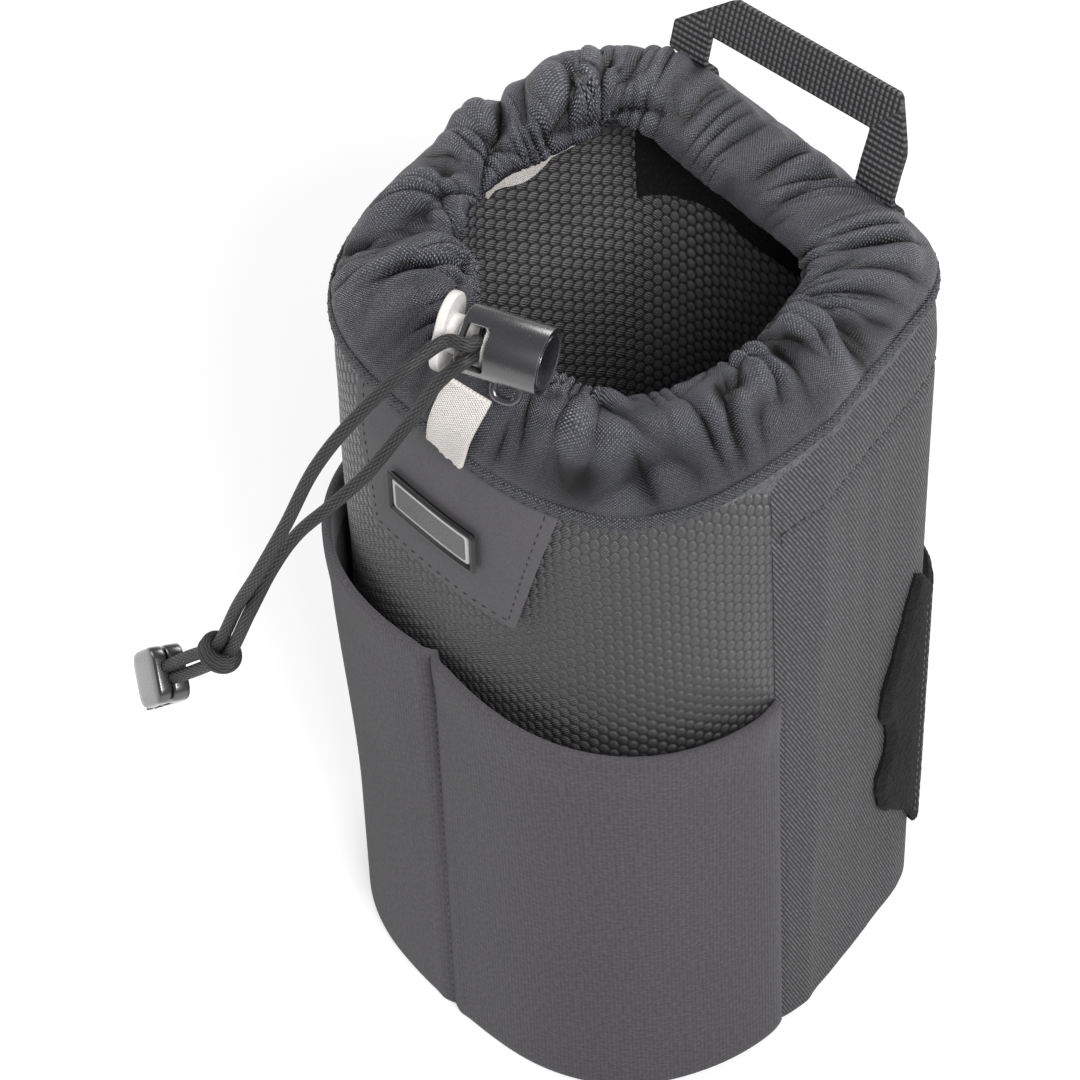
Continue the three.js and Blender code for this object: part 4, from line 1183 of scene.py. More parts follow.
PALE = Finish("pale_moulding", "pale_plastic", Pattern.MOULDED, (0.66, 0.64, 0.62), (0.76, 0.74, 0.72),
              0.4, 0.4, 0.3, 0.02, cloth=False, blotch=0.04)
TAPE = Finish("grey_tape", "grey_tape", Pattern.PLAIN,
              (0.76, 0.72, 0.69), (0.97, 0.94, 0.91), 0.9, 0.9, 0.8, 0.25, blotch=0.05)
CORD = Finish("braided_cord", "cord", Pattern.BRAID,
              (0.003, 0.003, 0.003), (0.062, 0.059, 0.06), 1.5708, 0.7, 0.42, 0.2)
WEBBING = Finish("woven_webbing", "webbing", Pattern.RIBBED, (0.006, 0.006, 0.007), (0.12, 0.118, 0.124),
                 1.45, 0.8, 0.5, 0.4)
THREAD = Finish("sewing_thread", "webbing", Pattern.MOULDED, (0.003, 0.003, 0.0035), (0.01, 0.01, 0.011),
                0.2, 0.7, 0.6, 0.02, cloth=False)
# Light grey thread for the pocket's divider and the pad's stitches.
PALE_THREAD = Finish("light_grey_thread", "webbing", Pattern.MOULDED, (0.1, 0.1, 0.103), (0.22, 0.22, 0.225),
                     0.2, 0.7, 0.6, 0.02, cloth=False)
HOOK = Finish("hook_tape", "hook_tape", Pattern.PILE, (0.006, 0.006, 0.006), (0.05, 0.05, 0.052),
              0.8, 0.6, 0.45, 0.4, cloth=False)
STEEL = Finish("spring_steel", "spring_steel", Pattern.MOULDED, (0.5, 0.5, 0.52), (0.62, 0.62, 0.64),
               0.3, 0.3, 0.22, 0.01, metal=1.0, cloth=False)


def finish_piece(obj: Object, finish: Finish, *nodes: str, body: str = "pouch") -> None:
    """Dresses a piece, lets it ride and reports it.

    Args:
        obj: The piece.
        finish: Its finish.
        nodes: CAD nodes that it replaces.
        body: The body that carries it.
    """
    PALETTE.dress(obj, finish)
    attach(obj, body)
    if nodes:
        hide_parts(*nodes)
    log.info("%s: %d faces on %s", obj.name, len(obj.data.polygons), body)


# Stitches

@dataclass(frozen=True)
class Seamstress:
    """Sews rows of short thread loops."""

    pitch: float = 2.8
    length: float = 1.9
    radius: float = 0.17

    def row(self, path: Array, outward: Array) -> Array:
        """Frames for the stitches of one row.

        Args:
            path: Points along the row, in millimetres.
            outward: Direction off the cloth at each point.

        Returns:
            Frames, n by 4 by 3: place, along, across and out.
        """
        marks = marks_along(path)
        goals = np.arange(self.pitch / 2, marks[-1], self.pitch)
        place = resample(path, marks, goals)
        along = unit(resample(path, marks, goals + 0.5) - resample(path, marks, goals - 0.5))
        out = resample(outward, marks, goals)
        out = unit(out - along * (out * along).sum(1, keepdims=True))
        return np.stack([place, along, np.cross(out, along), out], 1)

    def sew(self, name: str, rows: Sequence[Array], body: str = "pouch",
            finish: Finish = THREAD) -> Object:
        """One piece that holds all the stitches of some rows.

        Args:
            name: Name of the piece.
            rows: Frames from row().
            body: The body that carries it.
            finish: The thread's finish.

        Returns:
            The new object.
        """
        deselect()
        bpy.ops.mesh.primitive_uv_sphere_add(segments=6, ring_count=4, radius=1)
        obj = newest(name)
        shape = points_of(obj)
        shape = shape[:, [2, 0, 1]] * [self.length / 2, self.radius, self.radius]
        shape[:, 2] -= self.radius * 1.5 * (shape[:, 0] / (self.length / 2)) ** 2
        faces = [tuple(p.vertices) for p in obj.data.polygons]
        frames = np.concatenate(rows)
        spots = frames[:, None, 0] + np.einsum("pk,nkd->npd", shape, frames[:, 1:])
        count = len(shape)
        mesh = bpy.data.meshes.new(name)
        mesh.from_pydata(
            (spots.reshape(-1, 3) * MM).tolist(), [],
            [tuple(v + k * count for v in face) for k in range(len(frames)) for face in faces],
        )
        obj.data = mesh
        shade(obj, 80)
        finish_piece(obj, finish, body=body)
        return obj

    def on_body(self, share: Array, z: Array, out: Number) -> Array:
        """Frames of a row that lies on the body.

        Args:
            share: Shares of its points.
            z: Their heights.
            out: Their distance off the body.

        Returns:
            The frames.
        """
        share, z = np.broadcast_arrays(np.asarray(share, float), np.asarray(z, float))
        path = BODY.on(share, z, out)
        return self.row(path, BODY.on(share, z, np.asarray(out) + 1.0) - path)


SEWING = Seamstress()


# Body shells

@dataclass
class BodyShells:
    """The padded outer panels, the base and the pinched seams between the panels."""

    cloth: float = 1.1
    lift: float = 0.5
    pinch: float = 0.9
    pinch_reach: float = 2.6
    seam_slit: float = 0.1
    sag: float = 0.5

    def panel_out(self, width: float, seed: int) -> Out:
        """How far a padded panel stands off the plain body.

        Args:
            width: Its width in millimetres.
            seed: Seed of its soft waves.

        Returns:
            A function for wall_sheet.
        """
        waves, slow = Waver(seed, 2, 9), Waver(seed + 1, 1, 5)

        def out(share: Array, z: Array, u: Array, v: Array) -> Array:
            """Distance off the body, less near the seams.

            Args:
                share: Shares round the body; not used.
                z: Heights; not used.
                u: Shares across.
                v: Shares up.

            Returns:
                Millimetres off the body.
            """
            edge = np.minimum(u, 1 - u) * width
            soft = waves.at(u * 0.8, v * 0.4) * 0.12 + slow.at(v * 0.7 + 0.1, u * 0.5) * 0.3
            soft = np.minimum(soft - self.sag * 0.6, 0.0) * smooth(0, 14, edge)
            return soft - self.pinch * np.exp(-edge / self.pinch_reach)

        return out

    def build(self) -> None:
        """Builds and dresses every shell."""
        slit = BODY.over(self.seam_slit)
        corner = BODY.corner_share
        ends = self.lift, BODY.seam

        def seam(side: int, gap: float) -> Edge:
            """A side seam as an edge, with this gap past it."""
            return lambda v: side * (BODY.side_seam(v * BODY.height) + gap)

        edges = seam(-1, -slit), seam(1, -slit)
        front = wall_sheet("front_shell", edges, ends, self.panel_out(130, 3), (170, 110))
        finish_piece(thicken(front, self.cloth), HONEYCOMB, "front_panel")
        for side, name in ((1, "right"), (-1, "left")):
            soft = self.panel_out(62, 7 + side)

            def out(share: Array, z: Array, u: Array, v: Array) -> Array:
                """Distance off the body, with the crease across the side."""
                return soft(share, z, u, v) - 0.8 * bump(z - (BODY.seam(share) - 30), 0.0, 1.5)

            edges = (seam(side, slit), side * (corner - slit))[::side]
            panel = wall_sheet(f"side_shell_{name}", edges, ends, out, (70, 110))
            finish_piece(thicken(panel, self.cloth), TWILL, f"side_panel_{name}")
        edges = corner + slit, 1 - corner - slit
        back = wall_sheet("back_shell", edges, ends, self.panel_out(95, 21), (90, 90))
        finish_piece(thicken(back, self.cloth), TWILL, "back_panel")
        self.build_base()
        self.sew()

    def build_base(self) -> None:
        """The sewn base with a rolled rim."""
        obj = footprint("base_shell", 144, 0.0, -1.5, ((3, 0), (8, 0.5), (14, 0)))
        if obj.data.polygons[0].normal.z > 0:
            edit(obj)
            bpy.ops.mesh.flip_normals()
            leave_edit()
        set_points(obj, points_of(obj) + [0, 0, 1.15 * MM])
        thicken(obj, 1.6, -1, bevel=0.5)
        finish_piece(obj, TWILL_BASE, "base_panel")

    def sew(self) -> None:
        """Stitches beside the seams and across the sides."""
        z = np.linspace(4, 214, 60)
        rows = []
        for side in (1, -1):
            seam = BODY.side_seam(z)
            rows.append(SEWING.on_body(side * (seam + BODY.over(2.4)), z, -0.5))
            span = np.linspace(BODY.side_seam(190.0) + 0.004, BODY.corner_share - 0.01, 30)
            shares = side * span
            rows.append(SEWING.on_body(shares, BODY.seam(shares) - 28.4, -0.2))
        SEWING.sew("body_stitches", rows)


TWILL_BASE = Finish("base_cloth", "twill_cloth", Pattern.TWILL,
                    (0.02, 0.02, 0.022), (0.08, 0.078, 0.082), 1.2, 0.95, 0.85, 0.2, cloth=False)


@dataclass
class Lining:
    """What shows through the mouth: the woven lining, its loop patch and its floor."""

    wall_out: float = -4.95
    cloth: float = 0.8
    floor_z: float = 6.4
    bend_z: float = 206
    strip: tuple[float, float] = (0.75, 0.889)
    strip_lift: float = 0.95
    loop_side: float = 10

    def build(self) -> None:
        """Builds and dresses the lining."""
        table_z = [self.floor_z, 60.0, 120.0, 180.0, self.bend_z, 216.0, 222.0, 225.6]
        table_in = [0.0, 0.0, 0.0, 0.0, 0.08, 0.36, 0.66, 0.84]
        marks = np.array([0.0, 53.6, 113.6, 173.6, 199.8, 213.0, 223.0, 230.0])
        slack = Waver(41, 5, 16)

        def place(u: Array, v: Array) -> Array:
            """A point of the lining, which bends in to the hem at its top.

            Args:
                u: Shares across.
                v: Shares up.

            Returns:
                Its places.
            """
            z = np.interp(v * marks[-1], marks, table_z)
            inward = np.interp(v * marks[-1], marks, table_in)
            wave = slack.at(u, v * 0.3) * 0.6 - 0.6
            out = np.minimum(self.wall_out + wave * 0.6, self.wall_out)
            wall = BODY.on(u, np.minimum(z, BODY.height), out)
            point = mix(wall, hem_point(u, -6.6), inward[:, None])
            point[:, 2] = z + wave * inward
            return point

        wall = cloth_grid("lining_shell", 220, 110, place, (344, 230), ring=True)
        edit(wall)
        bpy.ops.mesh.flip_normals()
        leave_edit()
        thicken(wall, self.cloth)
        finish_piece(wall, LINING, "lining_wall")
        corner, side = BODY.corner_share, BODY.over(self.loop_side)

        def on_lining(u: Array, v: Array) -> Array:
            """A point of the loop strip, just inside the lining.

            Args:
                u: Shares across.
                v: Shares up.

            Returns:
                Its places.
            """
            share = mix(corner - side, 1 - corner + side, u)
            spot = place(share, mix(self.strip[0], self.strip[1], v))
            spot[:, :2] -= BODY.plan.at(share)[1] * self.strip_lift
            return spot

        patch = cloth_grid("loop_lining", 130, 40, on_lining, (115, 32))
        roughen(patch, 0.3, 5)
        finish_piece(thicken(patch, 0.8, 1), LOOP, "lining_loop_patch")
        floor = footprint("lining_base", 128, self.floor_z + 0.9, self.wall_out - 1.3, ((2, 0), (10, 0)))
        thicken(floor, 0.8, -1, bevel=0.3)
        finish_piece(floor, LINING_FLOOR, "lining_floor")


LINING_FLOOR = Finish("lining_floor_cloth", "lining_cloth", Pattern.HONEYCOMB, (0.006, 0.006, 0.007),
                      (0.06, 0.058, 0.06), 2.6, 0.8, 0.45, 0.3, cloth=False)


def roughen(obj: Object, size: float, seed: int) -> None:
    """Makes a nap or rough edge: each point moves a little off the surface.

    Args:
        obj: The object.
        size: Most movement in millimetres.
        seed: Seed of the draw.
    """
    points = points_of(obj)
    push = np.random.default_rng(seed).uniform(-1, 1, len(points)) * size * MM
    set_points(obj, points + normals_of(obj) * push[:, None])


# Gathered mouth

HEM = Plan(37, 35, 30, 31, 12, (2.5, -7.5))
HEM_HEIGHT = 230.0


HEM_PULLS = ((0.885, 0.06, (3.6, 3.9)), (0.645, 0.055, (-4.0, 3.7)))


def hem_point(share: Array, drop: float = 0.0) -> Array:
    """Points of the gathered opening's edge, which its cord pulls in at two places.

    Args:
        share: Shares of the walk.
        drop: Height over the hem.

    Returns:
        Points, n by 3.
    """
    spot = HEM.at(share)[0]
    for place, spread, pull in HEM_PULLS:
        spot = spot + np.outer(bump(np.asarray(share) % 1, place, spread), pull)
    return np.concatenate([spot, np.full((len(spot), 1), HEM_HEIGHT + drop)], 1)


def behind_hem(share: Array, far: Number) -> Array:
    """Points this far back from the gathered opening's edge, towards the wall.

    Args:
        share: Shares round the body.
        far: Millimetres back from the edge.

    Returns:
        The points.
    """
    spot = hem_point(share)
    inward = unit((spot - BODY.on(share, BODY.seam(share)))[:, :2])
    return spot - np.pad(inward * np.reshape(far, (-1, 1)), ((0, 0), (0, 1)))


@dataclass
class Collar:
    """The gathered cloth over the mouth, its seam band and the tape under its hem."""

    cloth: float = 0.7
    skirt: float = 4.5
    skin: float = 1.2
    crest: float = 2.6
    channel_depth: float = 3.9
    channel_reach: float = 7.2
    cord_inset: float = 3.7
    cord_drop: float = 1.1
    fold: float = 2.1
    deep: float = 3.0
    fold_counts: tuple[int, ...] = (15, 10, 6)
    fold_weights: tuple[float, ...] = (0.5, 0.32, 0.18)
    deep_places: tuple[float, ...] = (0.105, 0.075, 0.67, 0.63, 0.79, 0.86)
    deep_spread: float = 5.2
    width: float = 370.0
    reach: float = 62.0
    gather_line: float = 0.69
    bunches: tuple[tuple[float, ...], ...] = (
        (0.09, 2.6, 4.2, 0.4), (0.645, 2.4, 3.8, 1.2), (0.79, 2.6, 4.0, 0.2), (0.865, 2.4, 4.4, 0.9),
        (0.22, 1.5, 3.6, 0.7), (0.93, 1.8, 4.0, 2.0), (0.72, 1.6, 3.6, 0.1), (0.34, 1.4, 3.4, 1.4),
    )

    def gather(self, share: Array) -> Array:
        """The broad folds.

        Args:
            share: Shares of the walk.

        Returns:
            Heights, minus one to one.
        """
        total = sum(w * np.sin(2 * math.pi * c * share + k * 1.9)
                    for k, (c, w) in enumerate(zip(self.fold_counts, self.fold_weights)))
        return total * (1 - 0.55 * self.behind(share, 0.4))

    def behind(self, share: Array, start: float = 0.36, end: float = 0.62) -> Array:
        """One at the back of the pouch and zero from these shares on."""
        turn = share % 1
        return smooth(start, start + 0.06, turn) * (1 - smooth(end - 0.06, end, turn))

    def calm(self, share: Array) -> Array:
        """Zero where the lock lies on the cloth and one away from it."""
        turn = share % 1
        return 1 - bump(np.minimum(turn, 1 - turn), 0, 0.05)

    def deep_folds(self, share: Array) -> Array:
        """The few folds that go deep."""
        spread = self.deep_spread / BODY.plan.length
        return sum(bump(share % 1, place, spread) for place in self.deep_places)

    def profile(self, share: Array) -> Array:
        """The cloth's path from its skirt to its cord channel.

        Args:
            share: Shares of the walk.

        Returns:
            Points, n by 10 by 3.
        """
        seam = BODY.seam(share)
        foot = BODY.on(share, seam)
        inward = (hem_point(share) - foot)[:, :2]
        reach = np.linalg.norm(inward, axis=1)
        inward = unit(inward)
        calm = self.calm(share)
        ripple = self.gather(share) * self.fold * calm - self.deep_folds(share) * self.deep * calm
        one = np.ones_like(share)
        crest = HEM_HEIGHT + self.crest
        back = self.behind(share, end=0.64)
        table = [
            (-self.skin * one, seam - self.skirt, 0),
            (-self.skin * one, seam + 0.3, 0),
            (mix(1.6, 3.4, back), seam + 4.6, 0.35),
            (mix(5.0, 6.5, back), seam + 8.8, 0.7),
            (reach * 0.42, mix(seam + 9, crest, 0.75), 1),
            (reach * 0.66, crest * one, 0.9),
            (reach - self.cord_inset, (HEM_HEIGHT + self.crest * 0.8) * one, 0.1),
            (reach, (HEM_HEIGHT - self.cord_drop) * one, 0.1),
            (reach - self.cord_inset, (HEM_HEIGHT - self.channel_depth - self.cord_drop * 0.2) * one, 0.1),
            (reach - self.channel_reach, (HEM_HEIGHT - self.cord_drop * 1.8) * one, 0.1),
        ]
        rows = [(foot[:, :2] + inward * far[:, None], z + ripple * w) for far, z, w in table]
        return np.stack([np.concatenate([flat, z[:, None]], 1) for flat, z in rows], 1)

    def surface(self, share: Array, v: Array) -> Array:
        """The smooth cloth between the profile's points.

        Args:
            share: Shares of the walk.
            v: Shares of the way up the profile.

        Returns:
            Points, n by 3.
        """
        rows = self.profile(share)
        last = rows.shape[1] - 1
        spot = np.clip(v, 0, 1) * last
        k = np.minimum(spot.astype(int), last - 1)
        t = (spot - k)[:, None]
        n = np.arange(len(share))
        a, b = rows[n, np.maximum(k - 1, 0)], rows[n, k]
        c, d = rows[n, k + 1], rows[n, np.minimum(k + 2, last)]
        square, cube = 2 * a - 5 * b + 4 * c - d, 3 * b - a - 3 * c + d
        return 0.5 * (2 * b + (c - a) * t + square * t ** 2 + cube * t ** 3)

    def puckers(self, share: Array, v: Array) -> Array:
        """Fine folds off the smooth cloth, in millimetres.

        Args:
            share: Shares of the walk.
            v: Shares of the way up the profile.

        Returns:
            Heights along the normal.
        """
        total = np.zeros_like(share)
        sets = [
            (46, 1.1, 0.7, 0.09, 0.55, 61),
            (25, 2.1, 0.56, 0.16, 0.6, 62),
            (15, 2.5, 0.42, 0.17, 0.55, 63),
            (10, 1.4, 0.26, 0.12, 0.5, 64),
        ]
        for count, size, centre, spread, wander, seed in sets:
            warp, power = Waver(seed, 2, 14), Waver(seed + 20, 3, 12)
            lean = Waver(seed + 40, 1, 6)
            phase = count * share + wander * warp.at(share) * 1.6 + (v - centre) * lean.at(share) * 2.2
            puff = np.abs(np.sin(math.pi * phase)) ** 0.6 * 2 - 1.35
            strength = np.clip(0.6 + 0.85 * power.at(share), 0.08, 1.7)
            total += 1.2 * size * puff * strength * bump(v, centre, spread)
        for place, size, fan, turn in self.bunches:
            aside = ((share - place + 0.5) % 1 - 0.5) * self.width * 0.8
            below = (self.gather_line - v) * self.reach
            angle = np.arctan2(aside, below + 5.0)
            far = np.hypot(aside, below)
            ray = np.abs(np.sin(angle * fan + turn)) ** 0.55 * 2 - 1.35
            total += size * ray * np.exp(-((far / 21.0) ** 2)) * smooth(1.5, 6, far) * (below > -6)
        return total * (0.25 + 0.75 * self.calm(share)) * (1 - 0.55 * self.behind(share))

    def build(self) -> None:
        """Builds and dresses the collar and its trims."""
        sheet = cloth_grid("gathered_collar", 720, 60, self.surface, (self.width, self.reach), ring=True)
        u, v = np.meshgrid(np.linspace(0, 1, 721), np.linspace(0, 1, 61))
        self.fold_up(sheet, u.ravel(), v.ravel())
        thicken(sheet, self.cloth, 0)
        finish_piece(sheet, GATHERED, "collar")
        self.build_band()
        self.build_tape()

    def fold_up(self, sheet: Object, share: Array, v: Array) -> None:
        """Adds the fine folds to the collar and keeps how deep in a crease each point lies, which the
        collar's finish turns into painted shade in the creases and a painted highlight on the crests.

        Args:
            sheet: The collar, whose first and last column are merged.
            share: Shares of the points that its grid had.
            v: Their shares up the profile.
        """
        step = 1e-3
        spots = self.surface(share, v)
        along = self.surface(share + step, v) - self.surface(share - step, v)
        up = self.surface(share, np.minimum(v + step, 1)) - self.surface(share, np.maximum(v - step, 0))
        normal = unit(np.cross(along, up))
        fold = self.puckers(share, v)
        turn = share % 1
        swell = (6.0 * bump(turn, 0.675, 0.04) - 1.5 * bump(turn, 0.83, 0.05)) * bump(v, 0.45, 0.3)
        folded = (spots + normal * (fold + swell)[:, None]) * MM
        tree = KDTree(len(spots))
        for k, spot in enumerate(spots * MM):
            tree.insert(spot, k)
        tree.balance()
        order = np.array([tree.find(point)[1] for point in points_of(sheet)])
        set_points(sheet, folded[order])
        # Crease depth for the painted shade and highlight, lowered towards the cord channel to paint shade
        # inside the hem.
        store(sheet, FOLD_SHADE_HIGHLIGHT_MAP, ((fold + 1.15) / 2.4 - 0.35 * smooth(0.6, 0.95, v))[order])

    def build_band(self) -> None:
        """The double-stitched band at the foot of the collar."""
        height, out = 3.8, 1.9

        def place(u: Array, v: Array) -> Array:
            """A point of the band."""
            z = BODY.seam(u) - self.skirt + height * v - 0.4
            return BODY.on(u, z, out + 0.45 * np.sin(math.pi * v) ** 0.5)

        band = cloth_grid("seam_band", 300, 8, place, (self.width, height), ring=True)
        thicken(band, 0.8, -1)
        finish_piece(band, BAND, "collar_seam_band")
        share = np.linspace(0, 1, 721)
        rows = []
        for lift in (0.9, 3.0):
            z = BODY.seam(share) - self.skirt + lift - 0.4
            rows.append(SEWING.on_body(share, z, out + 0.35))
        SEWING.sew("collar_stitches", rows)

    def build_tape(self) -> None:
        """The light tape sewn under the hem."""
        def place(u: Array, v: Array) -> Array:
            """A point of the tape, with its wavy lower edge.

            Args:
                u: Shares across.
                v: Shares up.

            Returns:
                Its places.
            """
            spot = behind_hem(mix(0.668, 0.768, u), self.cord_inset - 1.6 + 0.5 * np.sin(u * 9))
            deep = 3.2 + 1.6 * np.abs(np.cos(u * 5.2))
            spot[:, 2] = HEM_HEIGHT - self.channel_depth + 0.4 - deep * (1 - v)
            return spot

        tape = cloth_grid("inner_tape", 60, 8, place, (42, 8.5))
        thicken(tape, 0.7, 0)
        finish_piece(tape, TAPE, "collar_inner_tape")


# Stretch pocket, patch and badge

@dataclass
class StretchPocket:
    """The pocket that wraps the front in two compartments."""

    height: float = 135
    standoff: float = 3.4
    thickness: float = 1.5
    rim_thickness: float = 2.3
    tops: tuple[float, float, float] = (136.3, 139.6, 131.6)
    lift: float = 0.6
    flare: float = 0.7
    hem: float = 12.5

    def bulge(self, share: Array) -> Array:
        """How far the rim stands off, 0 at the seams and the divider, 1 between."""
        across = np.minimum(np.abs(share) / BODY.side_seam(BODY.height), 1)
        return np.maximum(0, np.sin(math.pi * across)) ** self.flare

    def out(self, share: Array, z: Array) -> Array:
        """Distance of the pocket's inner face off the body."""
        rise = smooth(self.height * 0.3, self.height, z)
        return 0.3 + self.standoff * self.bulge(share) * rise

    def top(self, share: Array) -> Array:
        """Height of the rim, highest at the divider.

        Args:
            share: Shares of the walk.

        Returns:
            Heights.
        """
        left, middle, right = self.tops
        far = np.minimum(np.abs(share) / BODY.side_seam(BODY.height), 1) ** 1.4
        return mix(middle, np.where(share > 0, right, left), far)

    def build(self) -> None:
        """Builds the pocket as one folded sheet."""
        trim = BODY.over(0.5)
        ripple = Waver(71, 2, 8)

        def profile(share: Array, v: Array) -> tuple[Array, Array]:
            """Distance off the body and height, up the face, over the rim and down inside.

            Args:
                share: Shares of the walk.
                v: Shares of the way up and over.

            Returns:
                The distances and the heights.
            """
            top = self.top(share)
            face = np.clip(v / 0.84, 0, 1)
            turn = np.clip((v - 0.84) / 0.08, 0, 1) * math.pi
            inside = np.clip((v - 0.92) / 0.08, 0, 1)
            half = self.rim_thickness / 2
            z_face = mix(self.lift, top - half, face)
            z = z_face + half * np.sin(turn) - self.hem * inside
            hemmed = smooth(top - self.hem - 5.0, top - 2.0, z_face)
            thick = mix(self.thickness, self.rim_thickness, hemmed)
            valley = 0.45 * bump(z_face, 0.0, 1.0)
            out = np.where(v > 0.84, half * (1 + np.cos(turn)), thick - valley)
            return self.out(share, np.minimum(z, self.height)) + out, z

        def place(u: Array, v: Array) -> Array:
            """A point of the pocket, drawn in at its seams.

            Args:
                u: Shares across.
                v: Shares up.

            Returns:
                Its places.
            """
            edge = BODY.side_seam(v * self.height) - trim
            share = mix(-edge, edge, u)
            out, z = profile(share, v)
            across = np.abs(share) * BODY.plan.length
            seam = 0.75 * np.exp(-across / 1.3) - 0.35 * bump(across, 3.2, 1.8)
            soft = ripple.at(u * 0.9, v * 0.6) * 0.25 * smooth(0, 20, across) * (v < 0.84)
            side = np.minimum(u, 1 - u) * 130
            return BODY.on(share, z, out - seam + soft - 1.35 * np.exp(-side / 2.0))

        sheet = cloth_grid("stretch_pocket", 200, 120, place, (134, 158))
        thicken(sheet, 0.25, -1)
        finish_piece(sheet, STRETCH, "pocket_panel", "pocket_rim")
        self.sew()

    def sew(self) -> None:
        """The divider's stitches."""
        z = np.linspace(3, self.height + 1.5, 60)
        share = np.zeros_like(z)
        out = self.out(share, z) + self.thickness - 0.5
        rows = [SEWING.on_body(share, z, out)]
        SEWING.sew("pocket_stitches", rows, finish=PALE_THREAD)


@dataclass
class PatchAndBadge:
    """The smooth patch with its blank badge."""

    bottom: float = 169
    top_drop: float = 5.2
    left: tuple[float, float] = (19, 25)
    right: tuple[float, float] = (26, 37)
    thickness: float = 0.8
    badge_x: float = 3.2
    badge_z: float = 189.5
    half_width: float = 14
    half_height: float = 6.8
    rim: float = 1.7

    def build(self) -> None:
        """Builds the patch, its stitches, the frame and the plate."""
        def spot(u: Array, v: Array) -> tuple[Array, Array]:
            """Share and height of a point of the patch."""
            share = BODY.over(mix(-mix(*self.left, v), mix(*self.right, v), u))
            return share, mix(self.bottom, BODY.seam(share) - self.top_drop, v)

        def place(u: Array, v: Array) -> Array:
            """A point of the patch."""
            return BODY.on(*spot(u, v), 0.3 + self.thickness)

        patch = cloth_grid("smooth_patch", 80, 50, place, (52, 44))
        finish_piece(thicken(patch, self.thickness, -1, bevel=0.25), PATCH, "leather_patch")
        inset_u, inset_v = 2.3 / 50, 2.3 / 44
        line = np.linspace(0, 1, 60)
        flat, rise = 0 * line, mix(inset_v, 1, line)
        edges = ((mix(inset_u, 1 - inset_u, line), flat + inset_v), (flat + inset_u, rise),
                 (flat + 1 - inset_u, rise))
        seat = 0.3 + self.thickness + 0.05
        SEWING.sew("patch_stitches", [SEWING.on_body(*spot(u, v), seat) for u, v in edges])
        self.build_badge()

    def plate(self, name: str, size: tuple[float, float, float], steps: Sequence[Spot],
              seat: float, thickness: float, finish: Finish, *nodes: str) -> None:
        """A rounded plate with stepped edges, cut fine, bent onto the body and dressed.

        Args:
            name: Name of the piece.
            size: Half width, half height and corner radius.
            steps: Width and rise of each step inwards from its edge.
            seat: Distance of its edge off the body.
            thickness: Its thickness.
            finish: Its finish.
            nodes: The CAD node that it replaces, if any.
        """
        obj = flat_shape(name, *size)
        edit(obj)
        step_in(*steps)
        face_outwards()
        for k in range(-9, 10):
            bpy.ops.mesh.select_all(action="SELECT")
            bpy.ops.mesh.bisect(plane_co=(size[0] * k / 9.5, 0, 0), plane_no=(1, 0, 0))
        leave_edit()
        flat = points_of(obj)
        share = BODY.over(self.badge_x + flat[:, 0])
        set_points(obj, BODY.on(share, self.badge_z + flat[:, 1], seat + flat[:, 2]) * MM)
        modifier(obj, "SOLIDIFY", thickness=thickness * MM, offset=-1, use_even_offset=False)
        shade(obj, 40)
        finish_piece(obj, finish, *nodes)

    def build_badge(self) -> None:
        """The soft frame and the blank plate with its darker field."""
        seat = 0.3 + self.thickness
        wide, high = self.half_width, self.half_height
        steps = ((0.25, 0.35), (0.3, 0.2), (self.rim - 1.05, 0.0), (0.25, -0.25), (0.25, -0.5))
        self.plate("badge_rim", (wide, high, 1.7), steps, seat + 1.2, 1.1, RUBBER, "badge_frame")
        wide, high = wide - self.rim - 0.2, high - self.rim - 0.2
        steps = ((0.15, 0.12), (0.6, 0.05))
        self.plate("badge_blank", (wide, high, 1.3), steps, seat + 1.1, 0.3, PLATE, "badge_plate")
        steps = ((0.1, 0.02), (0.5, 0.0))
        self.plate("badge_field", (wide - 1.05, high - 1.05, 0.7), steps, seat + 1.3, 0.2, FIELD)


# Cord lock and cords

